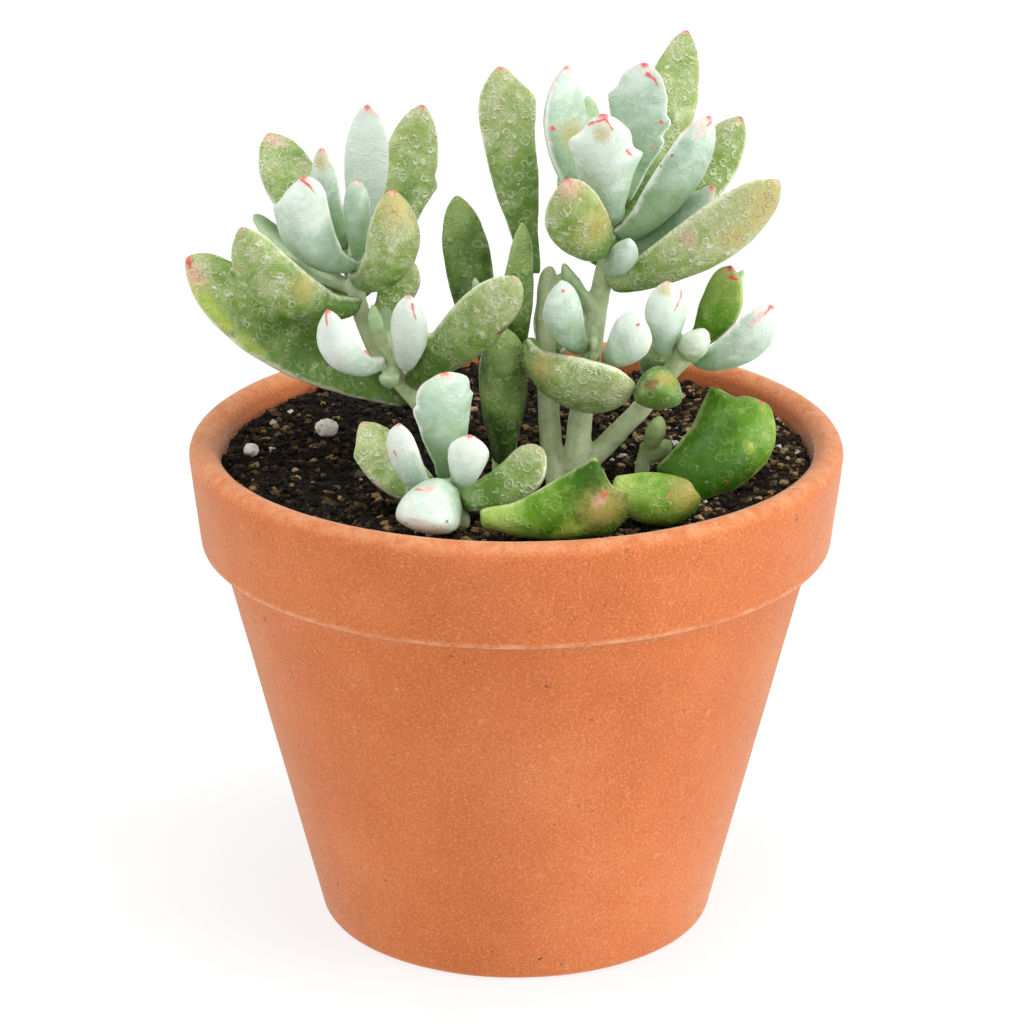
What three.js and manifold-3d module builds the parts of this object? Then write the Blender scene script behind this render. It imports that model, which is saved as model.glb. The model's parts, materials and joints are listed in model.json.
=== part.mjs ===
// Potted cotyledon: a small succulent with thick, toothed leaves in a terracotta pot.
// Millimetres, +Z up. The origin is at the middle of the pot's underside.
import * as THREE from "three";
import { mergeVertices } from "three/addons/utils/BufferGeometryUtils.js";
import Module from "manifold-3d";

// Pot
const potHeight = 82.5;
const rimRadius = 53;
const lipThickness = 4.8;
const bandBottomZ = 65.2;
const bandBottomRadius = 51.4;
const bodyTopRadius = 48.4;
const baseRadius = 32.6;
const wallThickness = 4.4;
const floorThickness = 5.5;
const drainRadius = 6;
const potSegments = 48;

// Soil
const soilZ = 78.8;
const soilRelief = 0.55;
const soilSegments = 36;
const soilRings = 8;
const grainCount = 18;
const grainFlattening = 0.8;

// Plant
const clearance = 0.35;
const stemFootZ = 73;
const stemSides = 8;
const stemFootDome = 0.4;
const stemTopDome = 0.6;
const holeClearance = 0.6;
const holeDepthAbove = 3;
const leafSides = 10;
const smallLeafSides = 8;
const footThickness = 0.6;
const upperShare = 0.36;
const troughShare = 0.06;
const thinnestHalf = 0.3;

const wasm = await Module();
wasm.setup();

const materials = {
  terracotta: new THREE.MeshStandardMaterial({ color: 0xc9683f, roughness: 0.9, metalness: 0 }),
  soil: new THREE.MeshStandardMaterial({ color: 0x33251d, roughness: 1, metalness: 0 }),
  perlite: new THREE.MeshStandardMaterial({ color: 0xe6e2da, roughness: 0.95, metalness: 0 }),
  stem: new THREE.MeshStandardMaterial({ color: 0x9bb389, roughness: 0.7, metalness: 0 }),
  mature: new THREE.MeshStandardMaterial({ color: 0x8ba36c, roughness: 0.6, metalness: 0 }),
  pale: new THREE.MeshStandardMaterial({ color: 0xbfdccb, roughness: 0.65, metalness: 0 }),
  dark: new THREE.MeshStandardMaterial({ color: 0x577a45, roughness: 0.55, metalness: 0 }),
  bright: new THREE.MeshStandardMaterial({ color: 0x5f9d3c, roughness: 0.5, metalness: 0 }),
};

const vector = (list) => new THREE.Vector3(...list);
const radians = (degrees) => THREE.MathUtils.degToRad(degrees);

// A closed body swept from a sphere's grid: place(row, angle) gives each point, with a pole at the
// first and the last row and the angle running round the section.
function sweptBody(sides, rows, place) {
  const geometry = new THREE.SphereGeometry(1, sides, rows);
  const position = geometry.attributes.position;
  for (let row = 0; row <= rows; row += 1) {
    for (let side = 0; side <= sides; side += 1) {
      const angle = ((side % sides) / sides) * 2 * Math.PI;
      const point = place(row, angle);
      position.setXYZ(row * (sides + 1) + side, point.x, point.y, point.z);
    }
  }
  return cleaned(geometry);
}

// Only positions are kept, with shared corners merged, so that the body is closed.
function cleaned(source) {
  const geometry = source.index ? source : mergeVertices(source);
  geometry.deleteAttribute("normal");
  geometry.deleteAttribute("uv");
  return mergeVertices(geometry, 1e-4);
}

function toSolid(geometry) {
  const mesh = new wasm.Mesh({
    numProp: 3,
    vertProperties: new Float32Array(geometry.attributes.position.array),
    triVerts: new Uint32Array(geometry.index.array),
  });
  return new wasm.Manifold(mesh);
}

function toGeometry(solid) {
  const mesh = solid.getMesh();
  const geometry = new THREE.BufferGeometry();
  geometry.setAttribute("position", new THREE.BufferAttribute(mesh.vertProperties, 3));
  geometry.setIndex(new THREE.BufferAttribute(mesh.triVerts, 1));
  return geometry;
}

function fused(geometries) {
  const solids = geometries.map(toSolid);
  return toGeometry(solids.slice(1).reduce((sum, solid) => sum.add(solid), solids[0]));
}

// A stem follows a smooth curve through its points and tapers from foot to top.
function makeStem(points, footRadius, topRadius) {
  const curve = new THREE.CatmullRomCurve3(points.map(vector), false, "centripetal");
  return { curve, footRadius, topRadius, length: curve.getLength() };
}

function stemRadius(stem, share) {
  return THREE.MathUtils.lerp(stem.footRadius, stem.topRadius, share);
}

// The first and last rows are the ends' slightly domed middles.
function stemGeometry(stem, rows) {
  const { curve } = stem;
  return sweptBody(stemSides, rows, (row, angle) => {
    const share = THREE.MathUtils.clamp((row - 1) / (rows - 2), 0, 1);
    const centre = curve.getPointAt(share);
    if (row === 0 || row === rows) {
      const outward = row === 0 ? -stemFootDome : stemTopDome;
      return centre.addScaledVector(curve.getTangentAt(share), outward);
    }
    const tangent = curve.getTangentAt(share);
    const across = new THREE.Vector3(0, 1, 0).cross(tangent).normalize();
    const other = new THREE.Vector3().crossVectors(across, tangent);
    const radius = stemRadius(stem, share);
    return centre
      .addScaledVector(across, radius * Math.cos(angle))
      .addScaledVector(other, radius * Math.sin(angle));
  });
}

const stems = {
  left: makeStem(
    [[-8, -12, stemFootZ], [-8.3, -12, 79.5], [-13.5, -11, 89], [-18.5, -8.5, 94.5],
      [-22.5, -6.5, 99.5], [-25, -5, 105.5], [-25.5, -4, 110.5], [-25.5, -3, 117]], 2.1, 1.3),
  leftShoot: makeStem([[-18, -8.5, 94], [-19.3, -11.2, 97], [-20.6, -13, 101.5]], 1.3, 0.9),
  centre: makeStem(
    [[-2, -8.5, stemFootZ], [-2, -8.5, 79.5], [-1.5, -6, 85], [-1, -3, 91.5], [-1.5, -1, 97.5]], 2.2, 1.4),
  front: makeStem([[-8.8, -31, stemFootZ], [-9, -31, 80], [-10, -31.5, 82.5], [-11.2, -32, 85.5]], 2, 1.4),
  armA: makeStem(
    [[6.5, -14.5, stemFootZ], [6.5, -14.5, 80], [5.5, -11, 85], [5, -9, 93], [4.7, -7, 101.5],
      [4.6, -5, 107], [5.4, -4.2, 112]], 2, 1.5),
  armB: makeStem(
    [[9, -14.2, stemFootZ], [9, -14.2, 80], [9.8, -13, 86], [10.5, -12, 91.5], [11.7, -10, 99],
      [13, -8, 107.5], [14.2, -7, 113.5], [15.2, -6, 118], [15.7, -5, 124]], 2.3, 1.4),
  shootT: makeStem([[10.8, -11.8, 94], [11.8, -14.5, 98], [12.2, -17, 101.5]], 1.4, 1),
  armC: makeStem(
    [[9.5, -14, stemFootZ], [10, -13.8, 80], [12.8, -13, 83.5], [16.5, -13, 87.5], [20.4, -13.5, 92],
      [23.6, -14, 96.5], [25.6, -14.6, 99.8], [26.2, -14.9, 103]], 2, 1.4),
  sprout: makeStem([[20, -11, 74], [20, -11, 80], [20.8, -11.4, 84.5]], 1.4, 1.1),
};

// Share of the full half width along a leaf: narrow foot, widest at `widest`, rounded end.
function leafOutline(t, foot, widest, blunt) {
  if (t < widest) {
    return foot + (1 - foot) * Math.sin((Math.PI / 2) * (t / widest)) ** 1.2;
  }
  const rest = Math.min((t - widest) / (1 - widest), 1);
  return (1 - rest ** blunt) ** 0.62;
}

// A tooth on one edge: a slow rise along the leaf, then a short fall after its point.
function toothHeight(tooth, t) {
  const before = (t - (tooth.at - tooth.rise)) / tooth.rise;
  const after = (tooth.at + tooth.fall - t) / tooth.fall;
  return tooth.out * THREE.MathUtils.clamp(Math.min(before, after), 0, 1);
}

const plainStations = [0, 0.01, 0.13, 0.27, 0.41, 0.55, 0.68, 0.79, 0.88, 0.945, 0.985, 1];
const smallStations = [0, 0.02, 0.28, 0.55, 0.78, 0.94, 1];

// Rows along the leaf, with one row at each tooth's point and one just past it.
function leafStations(leaf) {
  const plain = leaf.small ? smallStations : plainStations;
  const extra = leaf.teeth.flatMap((tooth) => [tooth.at, tooth.at + tooth.fall]);
  const kept = plain.filter((t) => t < 0.02 || t > 0.98 || extra.every((e) => Math.abs(e - t) > 0.03));
  return [...kept, ...extra].sort((a, b) => a - b);
}

const leafDefaults = {
  foot: 0.4, widest: 0.6, blunt: 2.3, curl: 0.06, roll: 0, inward: 0, teeth: [], small: false,
  rooted: false,
};

// The point on the side of the stem where a leaf starts: rooted inside it, or just clear of it,
// where `inward` makes up for the room that a slanting foot leaves.
function seatOnStem(leaf, along, up, across) {
  const stem = stems[leaf.stem];
  const share = THREE.MathUtils.clamp(leaf.at / stem.length, 0, 1);
  const stemWay = stem.curve.getTangentAt(share);
  const side = leaf.seat === undefined
    ? along.clone()
    : new THREE.Vector3(Math.cos(radians(leaf.seat)), Math.sin(radians(leaf.seat)), 0);
  const outward = side.addScaledVector(stemWay, -side.dot(stemWay)).normalize();
  const halfWidth = 0.5 * leaf.width * leaf.foot;
  const halfThickness = 0.5 * leaf.thickness * footThickness;
  const reach = Math.hypot(halfWidth * outward.dot(across), halfThickness * outward.dot(up));
  const radius = stemRadius(stem, share);
  const distance = leaf.rooted ? 0.2 * radius : radius + clearance + reach - leaf.inward;
  return stem.curve.getPointAt(share).addScaledVector(outward, distance);
}

// A leaf leaves its stem `at` millimetres up from the soil, points along heading and rise, and
// sags below its chord by curl times its length. The upper side is flatter than the lower.
function leafGeometry(given) {
  const leaf = { ...leafDefaults, ...given };
  const heading = radians(leaf.heading);
  const rise = radians(leaf.rise);
  const roll = radians(leaf.roll);
  const along = new THREE.Vector3(
    Math.cos(heading) * Math.cos(rise), Math.sin(heading) * Math.cos(rise), Math.sin(rise));
  const lifted = new THREE.Vector3(
    -Math.cos(heading) * Math.sin(rise), -Math.sin(heading) * Math.sin(rise), Math.cos(rise));
  const sideways = new THREE.Vector3().crossVectors(along, lifted);
  const up = lifted.clone().multiplyScalar(Math.cos(roll)).addScaledVector(sideways, Math.sin(roll));
  const across = new THREE.Vector3().crossVectors(along, up);

  const base = leaf.base ? vector(leaf.base) : seatOnStem(leaf, along, up, across);

  const stations = leafStations(leaf);
  const sides = leaf.small ? smallLeafSides : leafSides;
  return sweptBody(sides, stations.length - 1, (row, angle) => {
    const t = stations[row];
    const sag = 4 * leaf.curl * leaf.length * t * (1 - t);
    const spine = base.clone()
      .addScaledVector(along, leaf.length * t)
      .addScaledVector(lifted, -sag);
    if (row === 0 || row === stations.length - 1) {
      return spine;
    }
    const way = along.clone().addScaledVector(lifted, -4 * leaf.curl * (1 - 2 * t)).normalize();
    const faceUp = new THREE.Vector3().crossVectors(across, way).normalize();
    const edge = Math.cos(angle);
    const face = Math.sin(angle);
    const teeth = leaf.teeth
      .filter((tooth) => tooth.side === Math.sign(edge))
      .reduce((sum, tooth) => sum + toothHeight(tooth, t), 0);
    const outline = leafOutline(t, leaf.foot, leaf.widest, leaf.blunt);
    const half = 0.5 * leaf.width * outline + teeth * edge * edge;
    const layer = face > 0 ? upperShare : 1 - upperShare;
    const depth = leaf.thickness * layer * leafOutline(t, footThickness, 0.4, 2.2);
    const trough = troughShare * leaf.width * edge * edge * Math.sin(Math.PI * t);
    return spine
      .addScaledVector(across, half * edge)
      .addScaledVector(faceUp, Math.max(depth, thinnestHalf) * face + trough);
  });
}

const leaves = [
  // Left branch, from the lowest pair up to the young top
  { name: "left_lowest_leaf", base: [-18.1, -6.3, 91.4], heading: -177, rise: 34, length: 41, width: 12.4,
    thickness: 5, curl: 0.06, roll: -45, blunt: 2.8, finish: "mature" },
  { name: "left_inner_leaf", stem: "left", at: 23.4, heading: -37, rise: 46, length: 29, width: 9.2,
    thickness: 5, curl: 0.02, roll: -50, blunt: 2.7, finish: "mature",
    teeth: [{ side: 1, at: 0.3, out: 0.8, rise: 0.12, fall: 0.05 }] },
  { name: "left_front_leaf", stem: "left", at: 39, heading: -151, rise: 40, length: 24.5, width: 10,
    thickness: 4.8, curl: 0.16, roll: 50, inward: 0.9, finish: "mature" },
  { name: "left_middle_leaf", stem: "left", at: 36, heading: 32, rise: 56, length: 10.5, width: 6.7,
    thickness: 3.8, roll: 30, inward: 0.2, finish: "mature" },
  { name: "left_rear_leaf", stem: "left", at: 46, heading: 136, rise: 46, length: 24.5, width: 9.2,
    thickness: 4.4, curl: 0.04, roll: -25, inward: 0.4, finish: "mature" },
  { name: "left_back_right_leaf", stem: "left", at: 44, heading: 59, rise: 54, length: 29, width: 9.2,
    thickness: 4.4, curl: 0.08, roll: 20, inward: 0.7, finish: "mature",
    teeth: [{ side: 1, at: 0.6, out: 0.9, rise: 0.15, fall: 0.05 }] },
  { name: "left_pale_leaf", stem: "left", at: 45.5, heading: -141, rise: 63, length: 18, width: 9,
    thickness: 4, curl: 0.22, roll: 40, inward: 0.9, blunt: 3.6, finish: "pale",
    teeth: [{ side: 1, at: 0.84, out: 0.7, rise: 0.15, fall: 0.05 }] },
  { name: "left_tall_pale_leaf", stem: "left", at: 48.5, heading: 67, rise: 80, length: 22, width: 7.3,
    thickness: 4, roll: 10, seat: 80, inward: 0.4, finish: "pale" },
  { name: "left_small_rear_leaf", stem: "left", at: 49, heading: -172, rise: 78, length: 15.5, width: 4.8,
    thickness: 3.2, roll: 60, small: true, seat: 140, finish: "pale",
    teeth: [{ side: 1, at: 0.7, out: 0.7, rise: 0.15, fall: 0.06 }] },
  { name: "left_new_leaf", stem: "left", at: 47.5, heading: -88, rise: 86, length: 12.5, width: 4.4,
    thickness: 3.4, small: true, seat: -80, inward: 0.4, finish: "pale" },
  { name: "left_facing_leaf", stem: "left", at: 43, heading: -56, rise: 60, length: 20, width: 8.6,
    thickness: 4.6, curl: 0.22, roll: -25, inward: 1.1, finish: "mature" },
  { name: "left_hidden_leaf", stem: "left", at: 40, heading: 138, rise: 19, length: 11.5, width: 5.2,
    thickness: 3.2, small: true, roll: -30, finish: "mature" },

  // Side shoot of the left branch
  { name: "shoot_left_leaf", stem: "leftShoot", at: 7, heading: -138, rise: 48, length: 15, width: 6,
    thickness: 3.8, curl: 0.2, roll: 40, finish: "pale" },
  { name: "shoot_right_leaf", stem: "leftShoot", at: 5.5, heading: -85, rise: 61, length: 15.5, width: 6,
    thickness: 3.8, curl: 0.1, roll: -15, finish: "pale" },

  // Middle of the plant
  { name: "centre_left_leaf", stem: "centre", at: 25, heading: 124, rise: 70, length: 26, width: 7.6,
    thickness: 4.5, curl: 0.02, roll: -25, finish: "dark" },
  { name: "centre_right_leaf", stem: "centre", at: 20, heading: -47, rise: 81, length: 28, width: 5.6,
    thickness: 4.5, curl: 0.02, roll: 10, seat: -110, finish: "dark" },
  { name: "centre_front_leaf", stem: "centre", at: 8, heading: -88, rise: 88, length: 22, width: 7.8,
    thickness: 5.5, curl: 0.02, seat: -95, inward: 0.6, finish: "dark" },

  // Front rosette
  { name: "front_tall_leaf", stem: "front", at: 12.8, heading: -98, rise: 77, length: 18, width: 9,
    thickness: 4, curl: 0.05, roll: 30, widest: 0.74, blunt: 4.6, seat: 75, finish: "pale",
    teeth: [{ side: -1, at: 0.75, out: 0.5, rise: 0.15, fall: 0.05 },
      { side: 1, at: 0.7, out: 0.5, rise: 0.15, fall: 0.05 }] },
  { name: "front_left_leaf", stem: "front", at: 13, heading: -179, rise: 65, length: 12, width: 6.4,
    thickness: 3.8, curl: 0.12, roll: 40, seat: -150, inward: 0.6, widest: 0.7, foot: 0.34, finish: "pale" },
  { name: "front_right_leaf", stem: "front", at: 13.1, heading: -66, rise: 62, length: 10.2, width: 6.4,
    thickness: 3.8, curl: 0.12, roll: -20, widest: 0.68, foot: 0.34, finish: "pale" },
  { name: "front_facing_leaf", base: [-10.3, -34.6, 82.8], heading: -114, rise: 9, length: 12,
    width: 9.8, thickness: 8.6, curl: 0.04, widest: 0.7, blunt: 2.6, roll: 180, finish: "pale" },
  { name: "front_back_leaf", stem: "front", at: 8.5, heading: 155, rise: 37, length: 18.5, width: 8.6,
    thickness: 4.2, curl: 0.12, roll: -30, inward: 0.7, finish: "mature",
    teeth: [{ side: -1, at: 0.85, out: 0.8, rise: 0.15, fall: 0.05 }] },
  { name: "front_side_leaf", stem: "front", at: 8.5, heading: 6, rise: 33, length: 14.5, width: 7.6,
    thickness: 4.4, curl: 0.12, roll: 40, widest: 0.7, foot: 0.6, inward: 0.4, finish: "mature" },

  // Right branch, tall arms
  { name: "right_outer_left_leaf", stem: "armA", at: 40.5, heading: 135, rise: 77, length: 32, width: 8.6,
    thickness: 4.8, roll: -35, curl: 0.02, inward: 0.2, foot: 0.3, widest: 0.74, finish: "mature",
    teeth: [{ side: 1, at: 0.82, out: 1.2, rise: 0.1, fall: 0.1 }] },
  { name: "right_pale_front_leaf", stem: "armB", at: 49.5, heading: -177, rise: 79, length: 24, width: 8,
    thickness: 4.4, curl: 0.08, roll: -55, seat: -175, finish: "pale" },
  { name: "right_crown_leaf", stem: "armB", at: 49, heading: -100, rise: 63, length: 21.5, width: 9.2,
    thickness: 4.2, curl: 0.08, roll: 10, widest: 0.7, inward: 0.6, finish: "pale",
    teeth: [{ side: 1, at: 0.82, out: 1.2, rise: 0.15, fall: 0.06 },
      { side: -1, at: 0.66, out: 1.4, rise: 0.15, fall: 0.05 }] },
  { name: "right_toothed_leaf", stem: "armB", at: 52.2, heading: 54, rise: 74, length: 21, width: 9.4,
    thickness: 4.2, curl: 0.05, roll: 15, widest: 0.66, seat: 66, foot: 0.34, finish: "pale",
    teeth: [{ side: -1, at: 0.74, out: 0.9, rise: 0.15, fall: 0.05 },
      { side: 1, at: 0.6, out: 0.8, rise: 0.12, fall: 0.05 },
      { side: 1, at: 0.43, out: 0.7, rise: 0.12, fall: 0.05 }] },
  { name: "right_tallest_leaf", stem: "armB", at: 47.8, heading: 65, rise: 44, length: 36.5, width: 8.8,
    thickness: 4.8, roll: 20, curl: 0.08, inward: 0.3, foot: 0.3, seat: 64, finish: "mature" },
  { name: "right_long_pale_leaf", stem: "armB", at: 46.5, heading: -14, rise: 57, length: 24, width: 8.4,
    thickness: 4.6, roll: -45, inward: 0.6, finish: "pale" },
  { name: "right_back_leaf", stem: "armB", at: 43.5, heading: 33, rise: 40, length: 29.5, width: 9,
    thickness: 4.6, roll: 35, inward: 0.5, finish: "mature" },
  { name: "right_slim_leaf", stem: "armB", at: 43.5, heading: -2, rise: 38, length: 18, width: 4.8,
    thickness: 3.2, roll: 40, small: true, inward: 0.4, finish: "pale" },
  { name: "right_longest_leaf", stem: "armB", at: 39, heading: -16, rise: 36, length: 31.5, width: 11,
    thickness: 5.2, roll: -50, inward: 0.7, blunt: 3.1, finish: "mature" },
  { name: "right_facing_leaf", stem: "armB", at: 44.5, heading: -114, rise: 44, length: 20.5, width: 9.8,
    thickness: 5.4, curl: 0.15, roll: 30, inward: 0.4, finish: "mature" },
  { name: "right_small_facing_leaf", stem: "armB", at: 40.7, heading: -62, rise: 47, length: 9.4,
    width: 4.4, thickness: 2.8, curl: 0.1, roll: -30, small: true, inward: 0.1, foot: 0.3, finish: "pale" },
  { name: "right_boat_leaf", base: [1.8, -14.9, 101.2], heading: -24, rise: -9, length: 18.4, width: 13,
    thickness: 6, curl: 0.15, roll: -50, finish: "mature" },

  // Small shoot between the arms
  { name: "bud_shoot_left_leaf", stem: "shootT", at: 8.4, heading: -124, rise: 65, length: 14, width: 6.2,
    thickness: 3.8, curl: 0.15, roll: 40, finish: "pale" },
  { name: "bud_shoot_right_leaf", stem: "shootT", at: 8.4, heading: -60, rise: 51, length: 12, width: 6.8,
    thickness: 3.8, curl: 0.15, roll: -45, finish: "pale" },

  // Rightmost arm
  { name: "arm_upright_leaf", stem: "armC", at: 34.3, heading: -78, rise: 80, length: 11.8, width: 6.6,
    thickness: 4.2, curl: 0.06, seat: -165, finish: "pale" },
  { name: "arm_long_leaf", stem: "armC", at: 33, heading: -17, rise: 42, length: 15.6, width: 8,
    thickness: 4.2, curl: 0.12, roll: -50, seat: -5, finish: "pale" },
  { name: "arm_green_leaf", stem: "armC", at: 34.4, heading: 8, rise: 66, length: 13.8, width: 7.2,
    thickness: 4, curl: 0.1, roll: 45, seat: 45, finish: "bright" },
  // Young leaves standing on the soil at the front and right
  { name: "soil_front_leaf", base: [-5.3, -41.5, 83.2], heading: 1, rise: 5, length: 21.5, width: 10.2,
    thickness: 4.8, curl: 0.04, roll: -72, widest: 0.8, blunt: 4, foot: 0.28, finish: "bright",
    teeth: [{ side: 1, at: 0.85, out: 4.6, rise: 0.55, fall: 0.08 }] },
  { name: "soil_middle_leaf", base: [14.8, -34, 85.4], heading: 0, rise: -13, length: 13.0, width: 10,
    thickness: 7, curl: 0.02, roll: -60, widest: 0.7, blunt: 4, finish: "bright" },
  { name: "soil_right_leaf", base: [24.8, -22.5, 81.8], heading: 32, rise: 28, length: 20.5, width: 12.4,
    thickness: 5.4, curl: 0.05, roll: -118, foot: 0.6, widest: 0.5, blunt: 3, finish: "bright",
    teeth: [{ side: 1, at: 0.73, out: 3, rise: 0.3, fall: 0.1 }] },

  // Leaves on the far side, opposite those that face the front
  { name: "left_away_leaf", stem: "left", at: 41, heading: 85, rise: 28, length: 20, width: 8.6,
    thickness: 4.4, curl: 0.1, inward: 0.3, finish: "mature" },
  { name: "right_away_leaf", stem: "armB", at: 42, heading: 100, rise: 32, length: 24, width: 9,
    thickness: 4.6, curl: 0.1, inward: 0.8, finish: "mature" },
  { name: "right_low_away_leaf", stem: "armA", at: 27, heading: 80, rise: 25, length: 20, width: 8.6,
    thickness: 4.6, curl: 0.1, inward: 0.7, finish: "mature" },
  { name: "arm_away_leaf", stem: "armC", at: 26, heading: 80, rise: 22, length: 15, width: 7.6,
    thickness: 4.2, curl: 0.12, finish: "dark" },
  { name: "arm_round_leaf", stem: "armC", at: 28.6, heading: -99, rise: 12, length: 9, width: 7.8,
    thickness: 7, curl: 0.15, small: true, roll: 180, finish: "mature" },
];

// Leaves too small to be pieces of their own, each rooted in the stem that it grows from
const smallLeaves = [
  { node: "left", stem: "leftShoot", at: 8.2, heading: -150, rise: 74,
    length: 8.5, width: 3, thickness: 2.6 },
  { node: "left", stem: "leftShoot", at: 7.5, heading: 100, rise: 62,
    length: 8, width: 3, thickness: 2.4 },
  { node: "left", stem: "leftShoot", at: 3.6, heading: -104, rise: 12,
    length: 6.4, width: 3.4, thickness: 3 },
  { node: "left", stem: "left", at: 14, heading: 20, rise: 66, length: 9, width: 3.6, thickness: 2.4 },
  { node: "left", stem: "left", at: 41.5, heading: 147, rise: 26,
    length: 22.5, width: 5.4, thickness: 3 },
  { node: "centre", stem: "centre", at: 24.5, heading: -145, rise: 67,
    length: 16, width: 3.4, thickness: 2.8 },
  { node: "right", stem: "armB", at: 49, heading: 119, rise: 66, length: 20, width: 4.6, thickness: 3 },
  { node: "right", stem: "armB", at: 34, heading: -170, rise: 58, length: 9.5, width: 6.6, thickness: 3 },
  { node: "right", stem: "shootT", at: 8.2, heading: -85, rise: 84,
    length: 3.8, width: 1.8, thickness: 1.8 },
  { node: "right", stem: "shootT", at: 8.2, heading: 90, rise: 72,
    length: 5, width: 1.8, thickness: 1.8 },
  { node: "right", stem: "armC", at: 34.4, heading: -58, rise: 42, length: 7, width: 5.2, thickness: 5 },
  { node: "right", stem: "armC", at: 28, heading: 46, rise: 38, length: 24, width: 4.2, thickness: 2.8 },
  { node: "sprout", stem: "sprout", at: 10.5, heading: -50, rise: 66,
    length: 6.4, width: 3.8, thickness: 3.2 },
  { node: "sprout", stem: "sprout", at: 8.5, heading: -10, rise: 38,
    length: 5, width: 3.6, thickness: 3 },
];

function leafyStem(node, stemParts) {
  const leafParts = smallLeaves
    .filter((leaf) => leaf.node === node)
    .map((leaf) => leafGeometry({ ...leaf, small: true, rooted: true }));
  return fused([...stemParts, ...leafParts]);
}

function latheBody(profile, segments) {
  const points = profile.map(([radius, z]) => new THREE.Vector2(radius, z));
  return cleaned(new THREE.LatheGeometry(points, segments).rotateX(Math.PI / 2));
}

// Points on an arc in the pot's section, angles in degrees from straight out
function arc(centreRadius, centreZ, radius, from, to, steps) {
  return Array.from({ length: steps + 1 }, (_, step) => {
    const angle = radians(from + ((to - from) * step) / steps);
    return [centreRadius + radius * Math.cos(angle), centreZ + radius * Math.sin(angle)];
  });
}

const lipRadius = lipThickness / 2;
const lipZ = potHeight - lipRadius;
const innerRimRadius = rimRadius - lipThickness;
const innerShoulderZ = bandBottomZ - 3;
const innerBandZ = bandBottomZ + 3;
const innerTopRadius = bodyTopRadius - wallThickness;
const innerBaseRadius = baseRadius - wallThickness + 0.9;
const cornerRadius = 1.8;

// The pot: a thick band with a rounded lip over a tapering body, and a drain hole in the floor
const potProfile = [
  [drainRadius, 0],
  ...arc(baseRadius - cornerRadius, cornerRadius, cornerRadius, -90, -12, 2),
  [bodyTopRadius, bandBottomZ],
  ...arc(bandBottomRadius - cornerRadius, bandBottomZ + cornerRadius, cornerRadius, -90, 0, 2),
  ...arc(rimRadius - lipRadius, lipZ, lipRadius, 0, 180, 6),
  [innerRimRadius, innerBandZ],
  [innerTopRadius, innerShoulderZ],
  [innerBaseRadius, floorThickness],
  [drainRadius, floorThickness],
  [drainRadius, 0],
];

// Height of the soil's rough surface: a few waves that no two directions share
function soilHeight(x, y) {
  const broad = Math.sin(0.21 * x + 0.9) * Math.cos(0.17 * y - 0.4);
  const fine = Math.sin(0.83 * x + 1.7 * Math.sin(0.31 * y)) * Math.cos(0.77 * y + 0.6);
  return soilZ + soilRelief * (0.6 * broad + 0.4 * fine);
}

// The potting mix fills the pot up to a little under its lip.
function soilBody() {
  const topRadius = innerRimRadius - clearance;
  const rings = Array.from({ length: soilRings }, (_, ring) => {
    return [topRadius * (1 - (ring + 1) / soilRings), soilZ];
  });
  const geometry = latheBody([
    [0, floorThickness + clearance],
    [innerBaseRadius - clearance, floorThickness + clearance],
    [innerTopRadius - clearance, innerShoulderZ],
    [topRadius, innerBandZ + clearance],
    [topRadius, soilZ],
    ...rings,
  ], soilSegments);
  const position = geometry.attributes.position;
  for (let i = 0; i < position.count; i += 1) {
    if (position.getZ(i) > soilZ - 0.01) {
      position.setZ(i, soilHeight(position.getX(i), position.getY(i)));
    }
  }
  return geometry;
}

// A grain of grit or perlite: a slightly uneven ball, a little flattened
function grainGeometry(x, y, radius, z, detail) {
  const geometry = cleaned(new THREE.IcosahedronGeometry(radius, detail));
  const position = geometry.attributes.position;
  for (let i = 0; i < position.count; i += 1) {
    const uneven = 1 + 0.12 * Math.sin(2.3 * position.getX(i) + 3.1 * position.getY(i) + x);
    const height = grainFlattening * position.getZ(i) * uneven;
    position.setXYZ(i, x + position.getX(i) * uneven, y + position.getY(i), z + height);
  }
  return geometry;
}

// White grains that lie loose on the soil and are large enough to be seen one by one
const looseGrains = [
  { name: "perlite_grain", x: -31, y: 6.9, radius: 2 },
  { name: "perlite_grain_left", x: -42.9, y: -1.5, radius: 1.4 },
  { name: "perlite_grain_right", x: 36.3, y: 0.1, radius: 1.4 },
];

function looseGrainGeometry({ x, y, radius }) {
  const middleZ = soilHeight(x, y) + grainFlattening * radius + clearance;
  return grainGeometry(x, y, radius, middleZ, 1);
}

// Golden-angle steps spread the larger grains evenly over the soil.
function soilGrains() {
  const goldenAngle = radians(137.508);
  return Array.from({ length: grainCount }, (_, i) => {
    const reach = (innerRimRadius - 4) * Math.sqrt((i + 0.5) / grainCount);
    const x = reach * Math.cos(i * goldenAngle);
    const y = reach * Math.sin(i * goldenAngle);
    const radius = 0.9 + 0.12 * (i % 5);
    return grainGeometry(x, y, radius, soilHeight(x, y) + 0.1 * radius, 0);
  });
}

// Each stem's foot stands in a plain round hole that ends a little below it.
function stemHole(stem) {
  const foot = stem.curve.getPointAt(0);
  const radius = stem.footRadius + holeClearance;
  const floor = foot.z - 1;
  const depth = soilZ + holeDepthAbove - floor;
  const hole = new THREE.CylinderGeometry(radius, radius, depth, 16).rotateX(Math.PI / 2);
  return cleaned(hole.translate(foot.x, foot.y, floor + depth / 2));
}

function addMesh(group, name, geometry, material) {
  const mesh = new THREE.Mesh(geometry, material);
  mesh.name = name;
  group.add(mesh);
}

const rooted = ["left", "centre", "front", "armA", "armB", "armC", "sprout"];
const holes = rooted.map((name) => toSolid(stemHole(stems[name])));
const filling = toSolid(soilBody());
const grains = soilGrains().map(toSolid);
const soil = holes.reduce(
  (sum, hole) => sum.subtract(hole),
  grains.reduce((sum, grain) => sum.add(grain), filling));

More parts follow.
